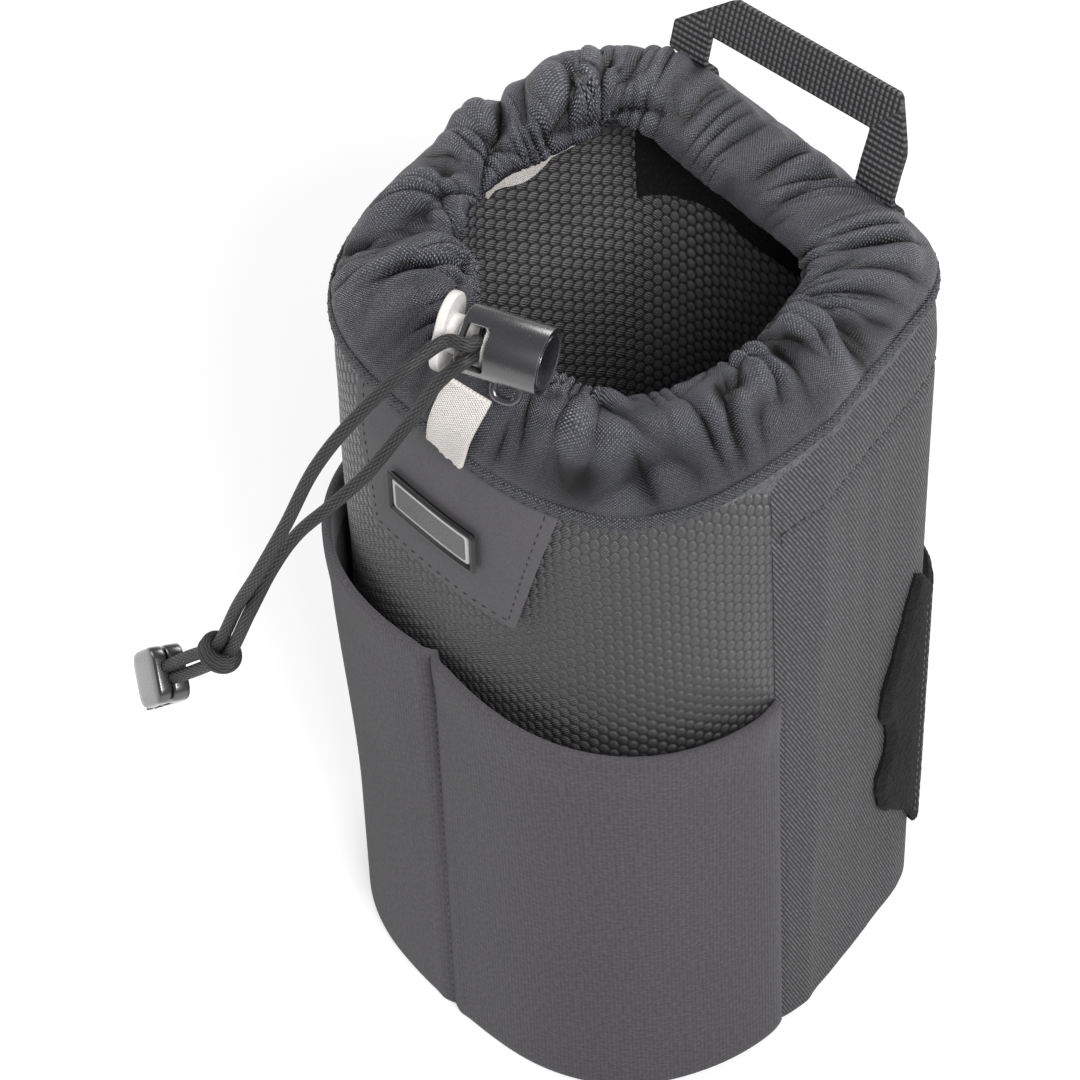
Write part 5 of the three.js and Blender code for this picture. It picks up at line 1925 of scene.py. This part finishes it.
@dataclass
class CordLock:
    """The sprung lock: barrel, button, end disc and the tether that holds it."""

    centre: tuple[float, float, float] = (15.3, -53.5, 246.4)
    turn: float = 24
    roll: float = 33
    radius: float = 7.7
    length: float = 19
    bore: float = 5.8
    slot_offset: float = 5.4
    slot_width: float = 5.4
    slot_span: float = 10.4
    travel: float = 3.4
    button_half: tuple[float, float] = (9.0, 6.6)
    button_thickness: float = 2.2

    @cached_property
    def frame(self) -> Matrix:
        """The lock's own frame in millimetres, with X along the barrel and Y out of the slot's back.

        Returns:
            The frame's matrix.
        """
        turn = math.radians(self.turn)
        along = Vector((math.cos(turn), math.sin(turn), 0))
        out = Vector((along.y, -along.x, 0))
        out.rotate(Matrix.Rotation(-math.radians(self.roll), 3, along))
        down = along.cross(out)
        return Matrix.Translation(self.centre) @ Matrix((along, out, down)).transposed().to_4x4()

    def spot(self, x: float, y: float, z: float) -> Array:
        """A place given in the lock's frame."""
        return np.array(self.frame @ Vector((x, y, z)))

    def settle(self, obj: Object) -> None:
        """Moves a piece made in the lock's frame to its place, in metres."""
        obj.data.transform(Matrix.Scale(MM, 4) @ self.frame)
        obj.data.update()

    def rod(self, name: str, radius: float, start: float, end: float, sides: int = 64) -> Object:
        """A round bar along the lock's X."""
        return bar(name, radius, end - start, ((start + end) / 2, 0, 0), (0, math.pi / 2, 0), sides)

    def build(self) -> None:
        """Builds and dresses the lock."""
        half = self.length / 2
        barrel = self.rod("lock_housing", self.radius, -half, half)
        edit(barrel, chosen=lambda centre, normal: normal.x > 0.9)
        bpy.ops.mesh.inset(thickness=1.15)
        bpy.ops.transform.translate(value=(-0.85, 0, 0))
        bpy.ops.mesh.inset(thickness=0.25)
        leave_edit()
        round_edges(barrel, 0.45, degrees=40)
        combine(barrel, self.rod("bore_tool", self.bore, -half - 2, half - 3), "DIFFERENCE")
        size = self.slot_width, self.radius * 3, self.slot_span
        tool = block("slot_tool", size, (-self.slot_offset, 0, 0))
        round_edges(tool, 0.9, 4)
        combine(barrel, tool, "DIFFERENCE")
        self.settle(barrel)
        shade(barrel, 35)
        finish_piece(barrel, MOULDED, "lock_barrel")
        self.build_eye()
        disc = self.rod("lock_cap", 6.1, half - 0.75, half - 0.2)
        edit(disc, chosen=lambda centre, normal: normal.x > 0.9)
        bpy.ops.mesh.inset(thickness=0.5)
        bpy.ops.mesh.inset(thickness=0.35)
        bpy.ops.transform.translate(value=(-0.15, 0, 0))
        leave_edit()
        round_edges(disc, 0.12, 2)
        self.settle(disc)
        shade(disc, 35)
        finish_piece(disc, MOULDED, "lock_end_disc")
        self.build_button()
        self.build_tether()
        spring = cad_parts["lock_spring"]
        PALETTE.dress(spring, STEEL)
        pick(spring)
        bpy.ops.object.shade_smooth()

    def build_eye(self) -> None:
        """The small eye under the barrel."""
        reach, half, wire = 3.2, 2.8, 0.9
        route = [(-half, -wire), (-half, reach * 0.6), (-half * 0.6, reach),
                 (half * 0.6, reach), (half, reach * 0.6), (half, -wire)]
        path = smooth_path([self.spot(x + 1.6, 0, self.radius + z) for x, z in route], 48)
        eye = sweep("lock_eye", path, wire, 16)
        finish_piece(eye, MOULDED)

    def build_button(self) -> None:
        """The pale plunger: button, neck and stem with its cord hole."""
        half = self.length / 2
        outer = -half - self.travel - self.button_thickness
        button = flat_shape("lock_button", *self.button_half, self.button_half[1] * 0.96, 14)
        edit(button)
        bpy.ops.mesh.extrude_region_move(TRANSFORM_OT_translate={"value": (0, 0, self.button_thickness)})
        face_outwards()
        leave_edit()
        round_edges(button, 0.55, degrees=50)
        turn = Matrix(((0, 0, 1, 0), (0, 1, 0, 0), (-1, 0, 0, 0), (0, 0, 0, 1)))
        button.data.transform(Matrix.Translation((outer, 0, 0)) @ turn)
        stem = self.rod("stem", self.bore - 0.3, -half + 0.3, -half + 8.7, 48)
        neck = self.rod("neck", 4.4, outer + 1.1, -half + 0.6, 40)
        for part in (stem, neck):
            combine(button, part, "UNION")
        place = (-self.slot_offset - self.travel * 0.3, 0, 0)
        tool = block("hole_tool", (4.4, self.radius * 3, 8.6), place)
        round_edges(tool, 0.7)
        combine(button, tool, "DIFFERENCE")
        self.settle(button)
        shade(button, 35)
        finish_piece(button, PALE, "lock_plunger", body="plunger")

    def build_tether(self) -> None:
        """The light webbing tab with a frayed edge."""
        end = self.spot(-1.1, 0, self.radius + 5.6) + np.array([-5.6, -0.8, 1.4])
        seam = float(BODY.seam(np.array([0.0]))[0])
        foot = BODY.on(np.array([BODY.over(8.0)]), seam - 3.4, 3.3)[0]
        knee = BODY.on(np.array([BODY.over(9.0)]), seam + 4.6, 2.3)[0]
        path = smooth_path([foot, knee, end], 40)
        along = unit(np.gradient(path, axis=0))
        axis = -np.array(self.frame.to_3x3() @ Vector((1, 0, 0)))
        wide = mix(np.array([[-1.0, 0, 0]]), axis[None], np.linspace(0, 1, 40)[:, None])
        wide = unit(wide - along * (wide * along).sum(1, keepdims=True))
        fray = np.random.default_rng(9).uniform(-0.35, 0.35, 20)

        def place(u: Array, v: Array) -> Array:
            """A point of the tab, frayed at its foot.

            Args:
                u: Shares across.
                v: Shares up.

            Returns:
                Its places.
            """
            k = np.rint(v * 39).astype(int)
            side = np.rint(u * 19).astype(int)
            edge = np.where(v == 0, fray[side], 0.0)[:, None]
            return path[k] + wide[k] * ((0.5 - u) * 11.0)[:, None] + along[k] * edge

        tape = cloth_grid("lock_tab", 19, 39, place, (11, 26))
        thicken(tape, 1.2, 0, bevel=0.3)
        finish_piece(tape, TAPE, "lock_tether")


@dataclass
class DrawCord:
    """The draw cord: hidden ring, two free ends, knot and cord end."""

    lock: CordLock
    radius: float = 1.5
    pitch: float = 3.5
    route_a: Route = ((-6.2, -11.5, 6.6), (-7.8, -21.5, 4.1), (-14.8, -30.5, -10.5), (-22.2, -36, -28.4),
                      (-29.2, -39.5, -51), (-37.4, -41.5, -73.3), (-45.0, -41.5, -90.8))
    route_b: Route = ((-4.6, -14.2, -1.6), (-11.8, -18.5, -19.3), (-17, -25, -33.7), (-24.2, -29.5, -47.3),
                      (-33.2, -33, -62.8), (-38.9, -36, -77.2), (-42.3, -40.6, -92.0))
    knot: tuple[float, float, float] = (-37.4, -95, 131.8)
    clip: tuple[float, float, float] = (-62.8, -93.2, 98.6)
    knot_sizes: tuple[float, float, float] = (3.8, 3.1, 3.5)
    knot_turns: float = 2.6
    abreast: tuple[float, float, float] = (0.879, 0.279, -0.385)
    tail_offset: float = 1.55
    clip_length: float = 14.5
    clip_width: float = 13.5
    base_depth: float = 4.2
    lid_depth: float = 3.4
    clip_roll: float = 24

    @cached_property
    def axes(self) -> tuple[Array, Array, Array]:
        """Along the tails, across them, and out.

        Returns:
            The three unit vectors.
        """
        along = unit(np.array(self.clip) - np.array(self.knot))
        across = unit(np.cross(along, [0, 1, 0]))
        return along, across, np.cross(along, across)

    def build(self) -> None:
        """Builds and dresses the cords and what is on them."""
        along, across, _ = self.axes
        knot, clip = np.array(self.knot), np.array(self.clip)
        clip_pieces = self.build_clip()
        wraps = self.build_knot()
        for name, side, route in (("a", -1, self.route_a), ("b", 1, self.route_b)):
            start = self.lock.spot(-self.lock.slot_offset, self.lock.bore + 0.3, side * self.pitch / 2)
            clear = self.lock.radius + (3.0 if side < 0 else 1.2)
            points = [start, self.lock.spot(-self.lock.slot_offset, clear, side * self.pitch / 2)]
            points += list(np.array(route) + self.lock.centre)
            aside = side * self.tail_offset
            points.append(knot - self.knot_axis * 3.4 + np.array(self.abreast) * aside)
            points.append(knot + along * 4.2 + across * aside)
            end = clip - along * (self.clip_length / 2 + 0.6) + across * aside
            points += [mix(points[-1], end, 0.5) + across * side * 0.25, end]
            path = smooth_path(points, 230)
            cord = sweep(f"draw_cord_{name}", path, self.radius, 20)
            finish_piece(cord, CORD, f"cord_strand_{name}", f"cord_tail_{name}")
        self.build_ring()

    @cached_property
    def knot_axis(self) -> Array:
        """The way that the strands run through the knot."""
        last = np.mean([self.route_a[-1], self.route_b[-1]], axis=0) + self.lock.centre
        return unit(unit(np.array(self.knot) - last) + self.axes[0] * 0.7)

    def build_knot(self) -> Object:
        """The overhand knot, as cord wound tightly over the two strands.

        Returns:
            The knot.
        """
        axis = self.knot_axis
        aside = unit(np.cross(axis, self.axes[2]))
        front = np.cross(axis, aside)
        wide, deep, half = self.knot_sizes
        share = np.linspace(0, 1, 161)
        turn = share * self.knot_turns * 2 * math.pi + 0.6
        taper = 1 - 0.55 * np.abs(2 * share - 1) ** 4 - 0.12 * (2 * share - 1) ** 2
        path = self.knot + np.outer(half * (2 * share - 1) + 0.9 * np.cos(turn), axis)
        path += np.outer(np.cos(turn) * wide * taper, aside) + np.outer(np.sin(turn) * deep * taper, front)
        knot = sweep("cord_knot_wraps", path, self.radius * 1.05, 18)
        finish_piece(knot, CORD, "cord_knot")
        return knot

    def build_ring(self) -> None:
        """The cord inside the channel with its two leads into the lock."""
        first, last = 0.013, 0.039 - 1
        rise, fall = behind_hem(np.array([first, last]), 3.7)
        rise[2] = fall[2] = HEM_HEIGHT + 2.6
        channel = behind_hem(np.linspace(0.0, last + 0.013, 45), 3.7)
        channel[:, 2] = HEM_HEIGHT - 1.1
        reaches = self.lock.bore + 0.3, self.lock.radius + 0.6
        leads = [[self.lock.spot(-self.lock.slot_offset, -reach, side * self.pitch / 2)
                  for reach in reaches] for side in (1, -1)]
        points = [*leads[0], rise, *channel, fall, *leads[1][::-1]]
        ring = sweep("drawcord_in_channel", smooth_path(points, 320), self.radius, 16)
        finish_piece(ring, CORD, "drawcord_ring")

    def shell(self, name: str, depth: float, flip: bool) -> Object:
        """One half of the cord end, a rounded box with a raised lip and a cord recess.

        Args:
            name: Its name.
            depth: Its depth.
            flip: Whether it is the lower half.

        Returns:
            The new object, still at the origin.
        """
        obj = flat_shape(name, self.clip_length / 2, self.clip_width / 2, 3.4, 6)
        edit(obj)
        bpy.ops.mesh.extrude_region_move(TRANSFORM_OT_translate={"value": (0, 0, depth)})
        step_in((2.6, -0.35 if flip else 0.25))
        face_outwards()
        leave_edit()
        round_edges(obj, 0.8, degrees=50)
        for side in (-1, 1):
            place = (1.2, side * self.clip_width / 2, 0.6)
            combine(obj, block("notch_tool", (4.6, 1.2, 1.7), place), "DIFFERENCE")
        lift = Matrix.Translation((0, 0, 0.15))
        obj.data.transform(Matrix.Rotation(math.pi, 4, "X") @ lift if flip else lift)
        return obj

    def build_clip(self) -> list[Object]:
        """The two halves of the cord end on their pin.

        Returns:
            Both halves.
        """
        basis = Matrix([Vector(axis) for axis in self.axes]).transposed().to_4x4()
        roll = Matrix.Rotation(math.radians(self.clip_roll), 4, "X")
        place = Matrix.Translation(self.clip) @ basis @ roll
        pin_x = self.clip_length / 2 + 1.9
        pieces = []
        for name, depth, flip, ears, body, node in (
            ("cord_end_shell", self.base_depth, True, (-1, 1), "pouch", "cord_end_base"),
            ("cord_end_cover", self.lid_depth, False, (0,), "clip_lid", "cord_end_lid"),
        ):
            obj = self.shell(name, depth, flip)
            for ear in ears:
                width = 2.2 if flip else 5.3
                aside = ear * (self.clip_width / 2 - 1.1)
                spot = (pin_x, aside, 0)
                combine(obj, bar("knuckle", 1.5, width, spot, (math.pi / 2, 0, 0), 24), "UNION")
                spot = (pin_x - 1.75, aside, -0.85 if flip else 0.85)
                combine(obj, block("arm", (3.4, width, 1.2), spot), "UNION")
            obj.data.transform(Matrix.Scale(MM, 4) @ place)
            shade(obj, 35)
            finish_piece(obj, MOULDED, node, body=body)
            pieces.append(obj)
        return pieces


# Straps on the back

@dataclass
class Handle:
    """The webbing handle over the back seam: two legs and a band, folded at its corners."""

    width: float = 10.8
    thickness: float = 1.5
    origin: tuple[float, float, float] = (-8.0, 50.1, 220.6)
    lean: float = 24.0
    roll: float = 7.0
    outer: float = 35.0
    low: float = 13.2
    high: float = 24.2
    foot_z: float = 207.0
    standoff: float = 2.9

    @cached_property
    def plane(self) -> tuple[Array, Array]:
        """Directions across and up the loop.

        Returns:
            The two unit vectors.
        """
        lean, roll = math.radians(self.lean), math.radians(self.roll)
        rise = np.array([0, math.sin(lean), math.cos(lean)])
        side = np.array([1.0, 0, 0])
        return side * math.cos(roll) + rise * math.sin(roll), rise * math.cos(roll) - side * math.sin(roll)

    def in_plane(self, a: Number, b: Number) -> Array:
        """Places in the loop's leaning and rolled plane, from its across and up."""
        across, up = self.plane
        return np.array(self.origin) + np.multiply.outer(a, across) + np.multiply.outer(b, up)

    def leg(self, side: int, start: float, end: float) -> tuple[Array, Array]:
        """Outer and inner edge of one leg, from its foot up to the corner.

        Args:
            side: -1 for the left leg, 1 for the right one.
            start: Height in the plane at which the leg has joined it.
            end: Height in the plane at which the corner begins.

        Returns:
            The two edges, n by 3.
        """
        middle = side * (self.outer - self.width / 2)
        first = self.in_plane(middle, start)
        feet = [(first[0], float(BODY.on(np.array([0.5]), z, self.standoff)[0, 1]), z)
                for z in (self.foot_z, 211.0, 215.0, 218.6)]
        path = smooth_path(feet + [self.in_plane(middle, b) for b in np.linspace(start, end, 4)], 40)
        turned = smooth(217, 224, path[:, 2])[:, None]
        wide = mix(np.array([1.0, 0, 0]), self.plane[0], turned) * side * self.width / 2
        return path + wide, path - wide

    def corner(self, outer: Sequence[Spot], inner: Sequence[Spot]) -> tuple[Array, Array]:
        """Both edges of a folded corner, through matching points in the plane.

        Args:
            outer: Points of the outer edge.
            inner: Points of the inner edge.

        Returns:
            Points of both edges.
        """
        fine = np.linspace(0, len(outer) - 1, 6 * len(outer))
        return tuple(self.in_plane(*resample(np.array(edge, float), np.arange(len(edge)), fine).T)
                     for edge in (outer, inner))

    def map_cloth(self, strap: Object) -> None:
        """Lays the webbing's ribs square to the legs and to the band, and changes over at the folds.

        Args:
            strap: The strap.
        """
        plane = (points_of(strap) / MM - self.origin) @ np.stack(self.plane, 1)
        corner = np.empty(len(strap.data.loops), dtype=np.int32)
        strap.data.loops.foreach_get("vertex_index", corner)
        inner = self.outer - self.width
        slope = (self.high - self.low) / self.width
        spread = np.empty((len(corner), 2))
        for face in strap.data.polygons:
            ids = list(face.loop_indices)
            spots = plane[corner[ids]]
            a, b = spots.mean(0)
            band = b - self.low > (abs(a) - inner) * slope and b > self.low - 2
            spread[ids] = spots[:, ::-1] if band else spots
        strap.data.uv_layers[0].data.foreach_set("uv", spread.ravel())

    def build(self) -> None:
        """Builds the strap, which bends over the back seam."""
        inner = self.outer - self.width
        left, right = self.leg(-1, 6.4, 10.8), self.leg(1, -0.6, 10.6)
        outer, low, high = self.outer, self.low, self.high
        fold_left = self.corner(((-outer, 11), (-outer, 12.6), (-20.2, high), (-17, high), (0, high)),
                                ((-inner, 11), (-inner, 12.9), (-inner + 0.3, low), (-17, low), (0, low)))
        fold_right = self.corner(((2, high), (20, high), (29.8, high), (outer - 0.6, 13.2), (outer, 11)),
                                 ((2, low), (20, low), (inner - 0.3, low), (inner, 12.9), (inner, 11)))
        edges = [np.concatenate([left[k], fold_left[k], fold_right[k], right[k][::-1]]) for k in (0, 1)]
        middle = mix(edges[0], edges[1], 0.5)
        marks = marks_along(middle)
        goals = np.linspace(0, marks[-1], 260)
        outer_edge, inner_edge = (resample(edge, marks, goals) for edge in edges)
        run = np.gradient(mix(outer_edge, inner_edge, 0.5), axis=0)
        normal = unit(np.cross(run, outer_edge - inner_edge))
        first = marks[len(left[0]) + 8]

        def place(u: Array, v: Array) -> Array:
            """A point of the strap, raised at its two folds.

            Args:
                u: Shares across.
                v: Shares up.

            Returns:
                Its places.
            """
            k = np.rint(v * 259).astype(int)
            fold = bump(goals[k], first, 6.0) + bump(goals[k], marks[-1] - first + 2, 5.0)
            cup = 0.2 * np.cos((u - 0.5) * math.pi) + 0.45 * fold
            return mix(inner_edge[k], outer_edge[k], u[:, None]) + normal[k] * cup[:, None]

        strap = cloth_grid("webbing_handle", 12, 259, place, (self.width, float(marks[-1])))
        thicken(strap, self.thickness, 0, bevel=0.3)
        self.map_cloth(strap)
        PALETTE.dress(strap, WEBBING)
        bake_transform(strap)
        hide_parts("handle", "handle_foot_left", "handle_foot_right")
        rows = []
        for leg in (left, right):
            for ring in range(2, 11, 2):
                line = mix(leg[0][ring], leg[1][ring], np.linspace(0.08, 0.92, 20)[:, None])
                line += [0, self.thickness / 2 + 0.25, 0]
                rows.append(SEWING.row(line, np.tile([0.0, 1.0, 0.0], (20, 1))))
        tacks = SEWING.sew("handle_tacks", rows)
        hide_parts("handle_tack_left", "handle_tack_right")


@dataclass
class BeltAttachment:
    """The loop pad round the back and the belt flap behind it."""

    pad_thickness: float = 2.0
    pad_bottom: float = 18
    pad_top: float = 124
    flap_half: float = 26
    flap_low: float = 20
    flap_high: float = 110
    flap_y: float = 65.3
    flap_thickness: float = 3.0
    binding: float = 5.0
    outline: tuple[Spot, ...] = ((14, 18), (27, 34), (29.5, 44), (29.5, 51), (26, 57), (26, 70), (29.5, 77),
                                 (29, 86), (25.5, 94), (22.5, 105), (19, 117), (16, 124))

    def pad_edge(self, height: Array) -> Array:
        """How far forward of the back the pad reaches at this height."""
        rows = np.array(self.outline)
        return np.interp(height, rows[:, 1], rows[:, 0])

    def build(self) -> None:
        """Builds and dresses the pad, the flap, its binding, strips and bar."""
        back = BODY.plan.back
        draw = Waver(83, 9, 30)

        table = np.linspace(0, 1, 81)
        reaches = self.pad_edge(mix(self.pad_bottom, self.pad_top, table)) + 0.35 * draw.at(table)
        shares = np.array([BODY.share_at_depth(back - reach) for reach in reaches])
        turn = BODY.share_at_depth(back - 16), BODY.share_at_depth(back - 7)

        def start(v: Array) -> Array:
            """Share of the pad's right edge."""
            return np.interp(v, table, shares)

        def level(on_back: float, on_side: float) -> Edge:
            """An upper or lower edge with one height on the back and one on the sides."""
            return lambda share: mix(
                on_back, on_side, 1 - smooth(*turn, np.minimum(share % 1, 1 - share % 1)))

        def out(share: Array, z: Array, u: Array, v: Array) -> Array:
            """Distance off the body, with soft edges.

            Args:
                share: Shares round the body; not used.
                z: Heights; not used.
                u: Shares across.
                v: Shares up.

            Returns:
                Millimetres off the body.
            """
            side = smooth(-1.5, 2.5, np.minimum(u, 1 - u) * 120)
            end = smooth(-2.0, 2.5, np.minimum(v, 1 - v) * 100)
            return 0.3 + self.pad_thickness * side * end

        ends = level(self.pad_bottom, self.pad_bottom + 14), level(self.pad_top - 12, self.pad_top)
        pad = wall_sheet("loop_pad", (start, lambda v: 1 - start(v)), ends, out, (190, 110))
        roughen(pad, 0.14, 12)
        thicken(pad, self.pad_thickness - 0.2, -1)
        finish_piece(pad, LOOP, "back_pad")
        rows = []
        z = np.linspace(self.pad_bottom + 10, self.pad_top - 14, 60)
        for side in (1, -1):
            for reach in (9.0, 11.6):
                share = side * BODY.share_at_depth(back - reach)
                rows.append(SEWING.on_body(share, z, 0.3 + self.pad_thickness + 0.1))
        SEWING.sew("pad_stitches", rows, finish=PALE_THREAD)
        self.build_flap()

    def upright(self, obj: Object, y: float) -> None:
        """Stands a flat shape up to face the back.

        Args:
            obj: The flat shape, in millimetres.
            y: Where it stands.
        """
        middle = (self.flap_high + self.flap_low) / 2
        turn = Matrix(((-1, 0, 0, 0), (0, 0, 1, y), (0, 1, 0, middle), (0, 0, 0, 1)))
        obj.data.transform(Matrix.Scale(MM, 4) @ turn)
        obj.data.update()

    def build_flap(self) -> None:
        """The flap with its bound edge, and the strips and bar it closes on."""
        half = (self.flap_high - self.flap_low) / 2
        core = flat_shape("flap_panel", self.flap_half - self.binding + 0.6, half - self.binding + 0.6, 6.5)
        edit(core)
        step_in((2.0, 0.5), (5.0, 0.15))
        leave_edit()
        self.upright(core, self.flap_y + self.flap_thickness - 0.65)
        thicken(core, self.flap_thickness - 0.65, -1)
        finish_piece(core, LOOP_BLOCK, "belt_flap", body="flap")
        ring = flat_shape("flap_edge", self.flap_half, half, 9)
        edit(ring)
        bpy.ops.mesh.inset(thickness=self.binding - 0.3)
        bpy.ops.mesh.delete(type="FACE")
        leave_edit()
        self.upright(ring, self.flap_y + self.flap_thickness + 0.6)
        modifier(ring, "SOLIDIFY", thickness=4.2 * MM, offset=-1)
        round_edges(ring, 1.3 * MM, 4, 50)
        shade(ring, 50)
        finish_piece(ring, BINDING, "flap_binding", body="flap")
        rows = []
        y, middle = self.flap_y + self.flap_thickness + 0.68, (self.flap_high + self.flap_low) / 2
        for inset in (1.6, 3.6):
            w, h, c = self.flap_half - inset, half - inset, 8 - inset
            round_it = [(w - c, -h), (w, -h + c), (w, h - c), (w - c, h)]
            round_it += [(-x, z) for x, z in round_it[::-1]] + round_it[:1]
            path = np.array([(x, y, z + middle) for x, z in round_it], float)
            rows.append(SEWING.row(path, np.tile([0.0, 1.0, 0.0], (len(path), 1))))
        SEWING.sew("flap_stitches", rows, "flap")
        self.build_strips()

    def build_strips(self) -> None:
        """The hook strip, the loop strip and the sewn bar."""
        for name, node, body, finish, rough in (
            ("hook_patch", "flap_hook_strip", "flap", HOOK, 0.12),
            ("loop_patch", "landing_strip", "pouch", LOOP_BLOCK, 0.2),
            ("flap_bar", "flap_top_bar", "pouch", BINDING, 0.0),
        ):
            low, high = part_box(node)
            obj = block(name, high - low, (low + high) / 2)
            round_edges(obj, min(high - low) * 0.3)
            edit(obj)
            bpy.ops.mesh.subdivide(number_cuts=3)
            leave_edit()
            if rough:
                roughen(obj, rough, 31)
            shade(obj, 50)
            finish_piece(obj, finish, node, body=body)


LOOP_BLOCK = Finish("loop_block", "loop_cloth", Pattern.PILE,
                    (0.0015, 0.0015, 0.0017), (0.015, 0.0147, 0.0157), 1.1, 1.0, 0.9, 0.5, cloth=False)
BINDING = Finish("edge_binding", "webbing", Pattern.RIBBED, (0.012, 0.012, 0.013), (0.06, 0.058, 0.062),
                 1.1, 0.85, 0.7, 0.25, sheen=0.1, cloth=False)


# Studio

@dataclass
class Studio:
    """Camera, floor, lamps and surroundings."""

    azimuth: float = 47.484
    elevation: float = 50.0
    roll: float = -0.394
    target: tuple[float, float, float] = (-31.95, -1.30, 100.0)
    distance: float = 1535.9
    focal_pixels: float = 6493.77
    frame_pixels: float = 1080.0
    sensor: float = 36.0

    def build(self) -> None:
        """Sets up everything round the pouch."""
        self.build_camera()
        self.build_floor()
        self.build_world()
        self.lamp("key", (0.7, -0.35, 0.95), (0.4, 0.4), 13.5)
        self.lamp("side", (-0.9, -0.6, 0.8), (0.6, 0.8), 6.5)
        self.lamp("rim", (-0.2, 0.95, 0.75), (0.8, 0.4), 8.0)

    def build_camera(self) -> None:
        """The camera at the photograph's place."""
        azimuth, elevation, roll = (math.radians(a) for a in (self.azimuth, self.elevation, self.roll))
        flat = math.cos(elevation)
        back = Vector((math.sin(azimuth) * flat, -math.cos(azimuth) * flat, math.sin(elevation)))
        right = Vector((math.cos(azimuth), math.sin(azimuth), 0))
        up = back.cross(right)
        tilted = right * math.cos(roll) + up * math.sin(roll)
        place = (Vector(self.target) + back * self.distance) * MM
        matrix = Matrix((tilted, back.cross(tilted), back)).transposed().to_4x4()
        matrix.translation = place
        data = bpy.data.cameras.new("camera")
        data.sensor_width = self.sensor
        data.lens = self.focal_pixels / self.frame_pixels * self.sensor
        data.clip_end = 20
        camera = bpy.data.objects.new("camera", data)
        camera.matrix_world = matrix
        bpy.context.scene.collection.objects.link(camera)
        bpy.context.scene.camera = camera

    def white_to_lens(self, g: Graph, lit: Socket, glow: float) -> Socket:
        """A shader that adds a glow for the camera and for reflections only.

        Args:
            g: The material's graph.
            lit: The shader to add to.
            glow: Strength of the glow.

        Returns:
            The sum.
        """
        rays = g.add("ShaderNodeLightPath").outputs
        seen = g.math("MAXIMUM", rays["Is Glossy Ray"], rays["Is Transmission Ray"])
        seen = g.math("MAXIMUM", rays["Is Camera Ray"], seen)
        light = g.add("ShaderNodeEmission", {"Color": (1, 1, 1, 1), "Strength": g.times(seen, glow)})
        return g.add("ShaderNodeAddShader", {0: lit, 1: light.outputs[0]}).outputs[0]

    def build_floor(self) -> None:
        """A pale floor that keeps a soft shadow."""
        deselect()
        bpy.ops.mesh.primitive_plane_add(size=8, location=(0, 0, -0.0004))
        floor = newest("floor")
        made = bpy.data.materials.new("pale_floor")
        g = emptied(made)
        lit = g.add("ShaderNodeBsdfDiffuse", {"Color": (0.42, 0.42, 0.42, 1)})
        g.add("ShaderNodeOutputMaterial", {"Surface": self.white_to_lens(g, lit.outputs[0], 0.62)})
        floor.data.materials.append(made)

    def build_world(self) -> None:
        """A white room."""
        world = bpy.data.worlds.new("white_room")
        bpy.context.scene.world = world
        g = emptied(world)
        path = g.add("ShaderNodeLightPath")
        strength = g.fit(path.outputs["Is Camera Ray"], 0.8, 0.2)
        light = g.add("ShaderNodeBackground", {"Color": (1, 1, 1, 1), "Strength": strength})
        g.add("ShaderNodeOutputWorld", {"Surface": light.outputs[0]})

    def lamp(self, name: str, place: Sequence[float], size: Spot, power: float) -> None:
        """An area lamp that faces the pouch.

        Args:
            name: Its name.
            place: Where it hangs, in metres.
            size: Its width and height.
            power: Its power in watts.
        """
        data = bpy.data.lights.new(name, "AREA")
        data.shape = "RECTANGLE"
        data.size, data.size_y = size
        data.energy = power
        lamp = bpy.data.objects.new(name, data)
        lamp.location = place
        lamp.rotation_euler = (Vector((0, 0, 0.12)) - Vector(place)).to_track_quat("-Z", "Y").to_euler()
        bpy.context.scene.collection.objects.link(lamp)


def dress_hidden_nodes() -> None:
    """Gives the padding inside the walls its foam."""
    for name in ("wall_foam", "base_foam"):
        PALETTE.dress(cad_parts[name], FOAM)


def main() -> None:
    """Builds the studio and every sub-assembly in order."""
    logging.basicConfig(level=logging.INFO, format="%(name)s: %(message)s")
    bpy.context.scene.view_settings.view_transform = "Standard"
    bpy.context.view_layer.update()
    Studio().build()
    lock = CordLock()
    DrawCord(lock).build()
    lock.build()
    BodyShells().build()
    Lining().build()
    Collar().build()
    StretchPocket().build()
    PatchAndBadge().build()
    Handle().build()
    BeltAttachment().build()
    dress_hidden_nodes()


if __name__ == "__main__":
    main()
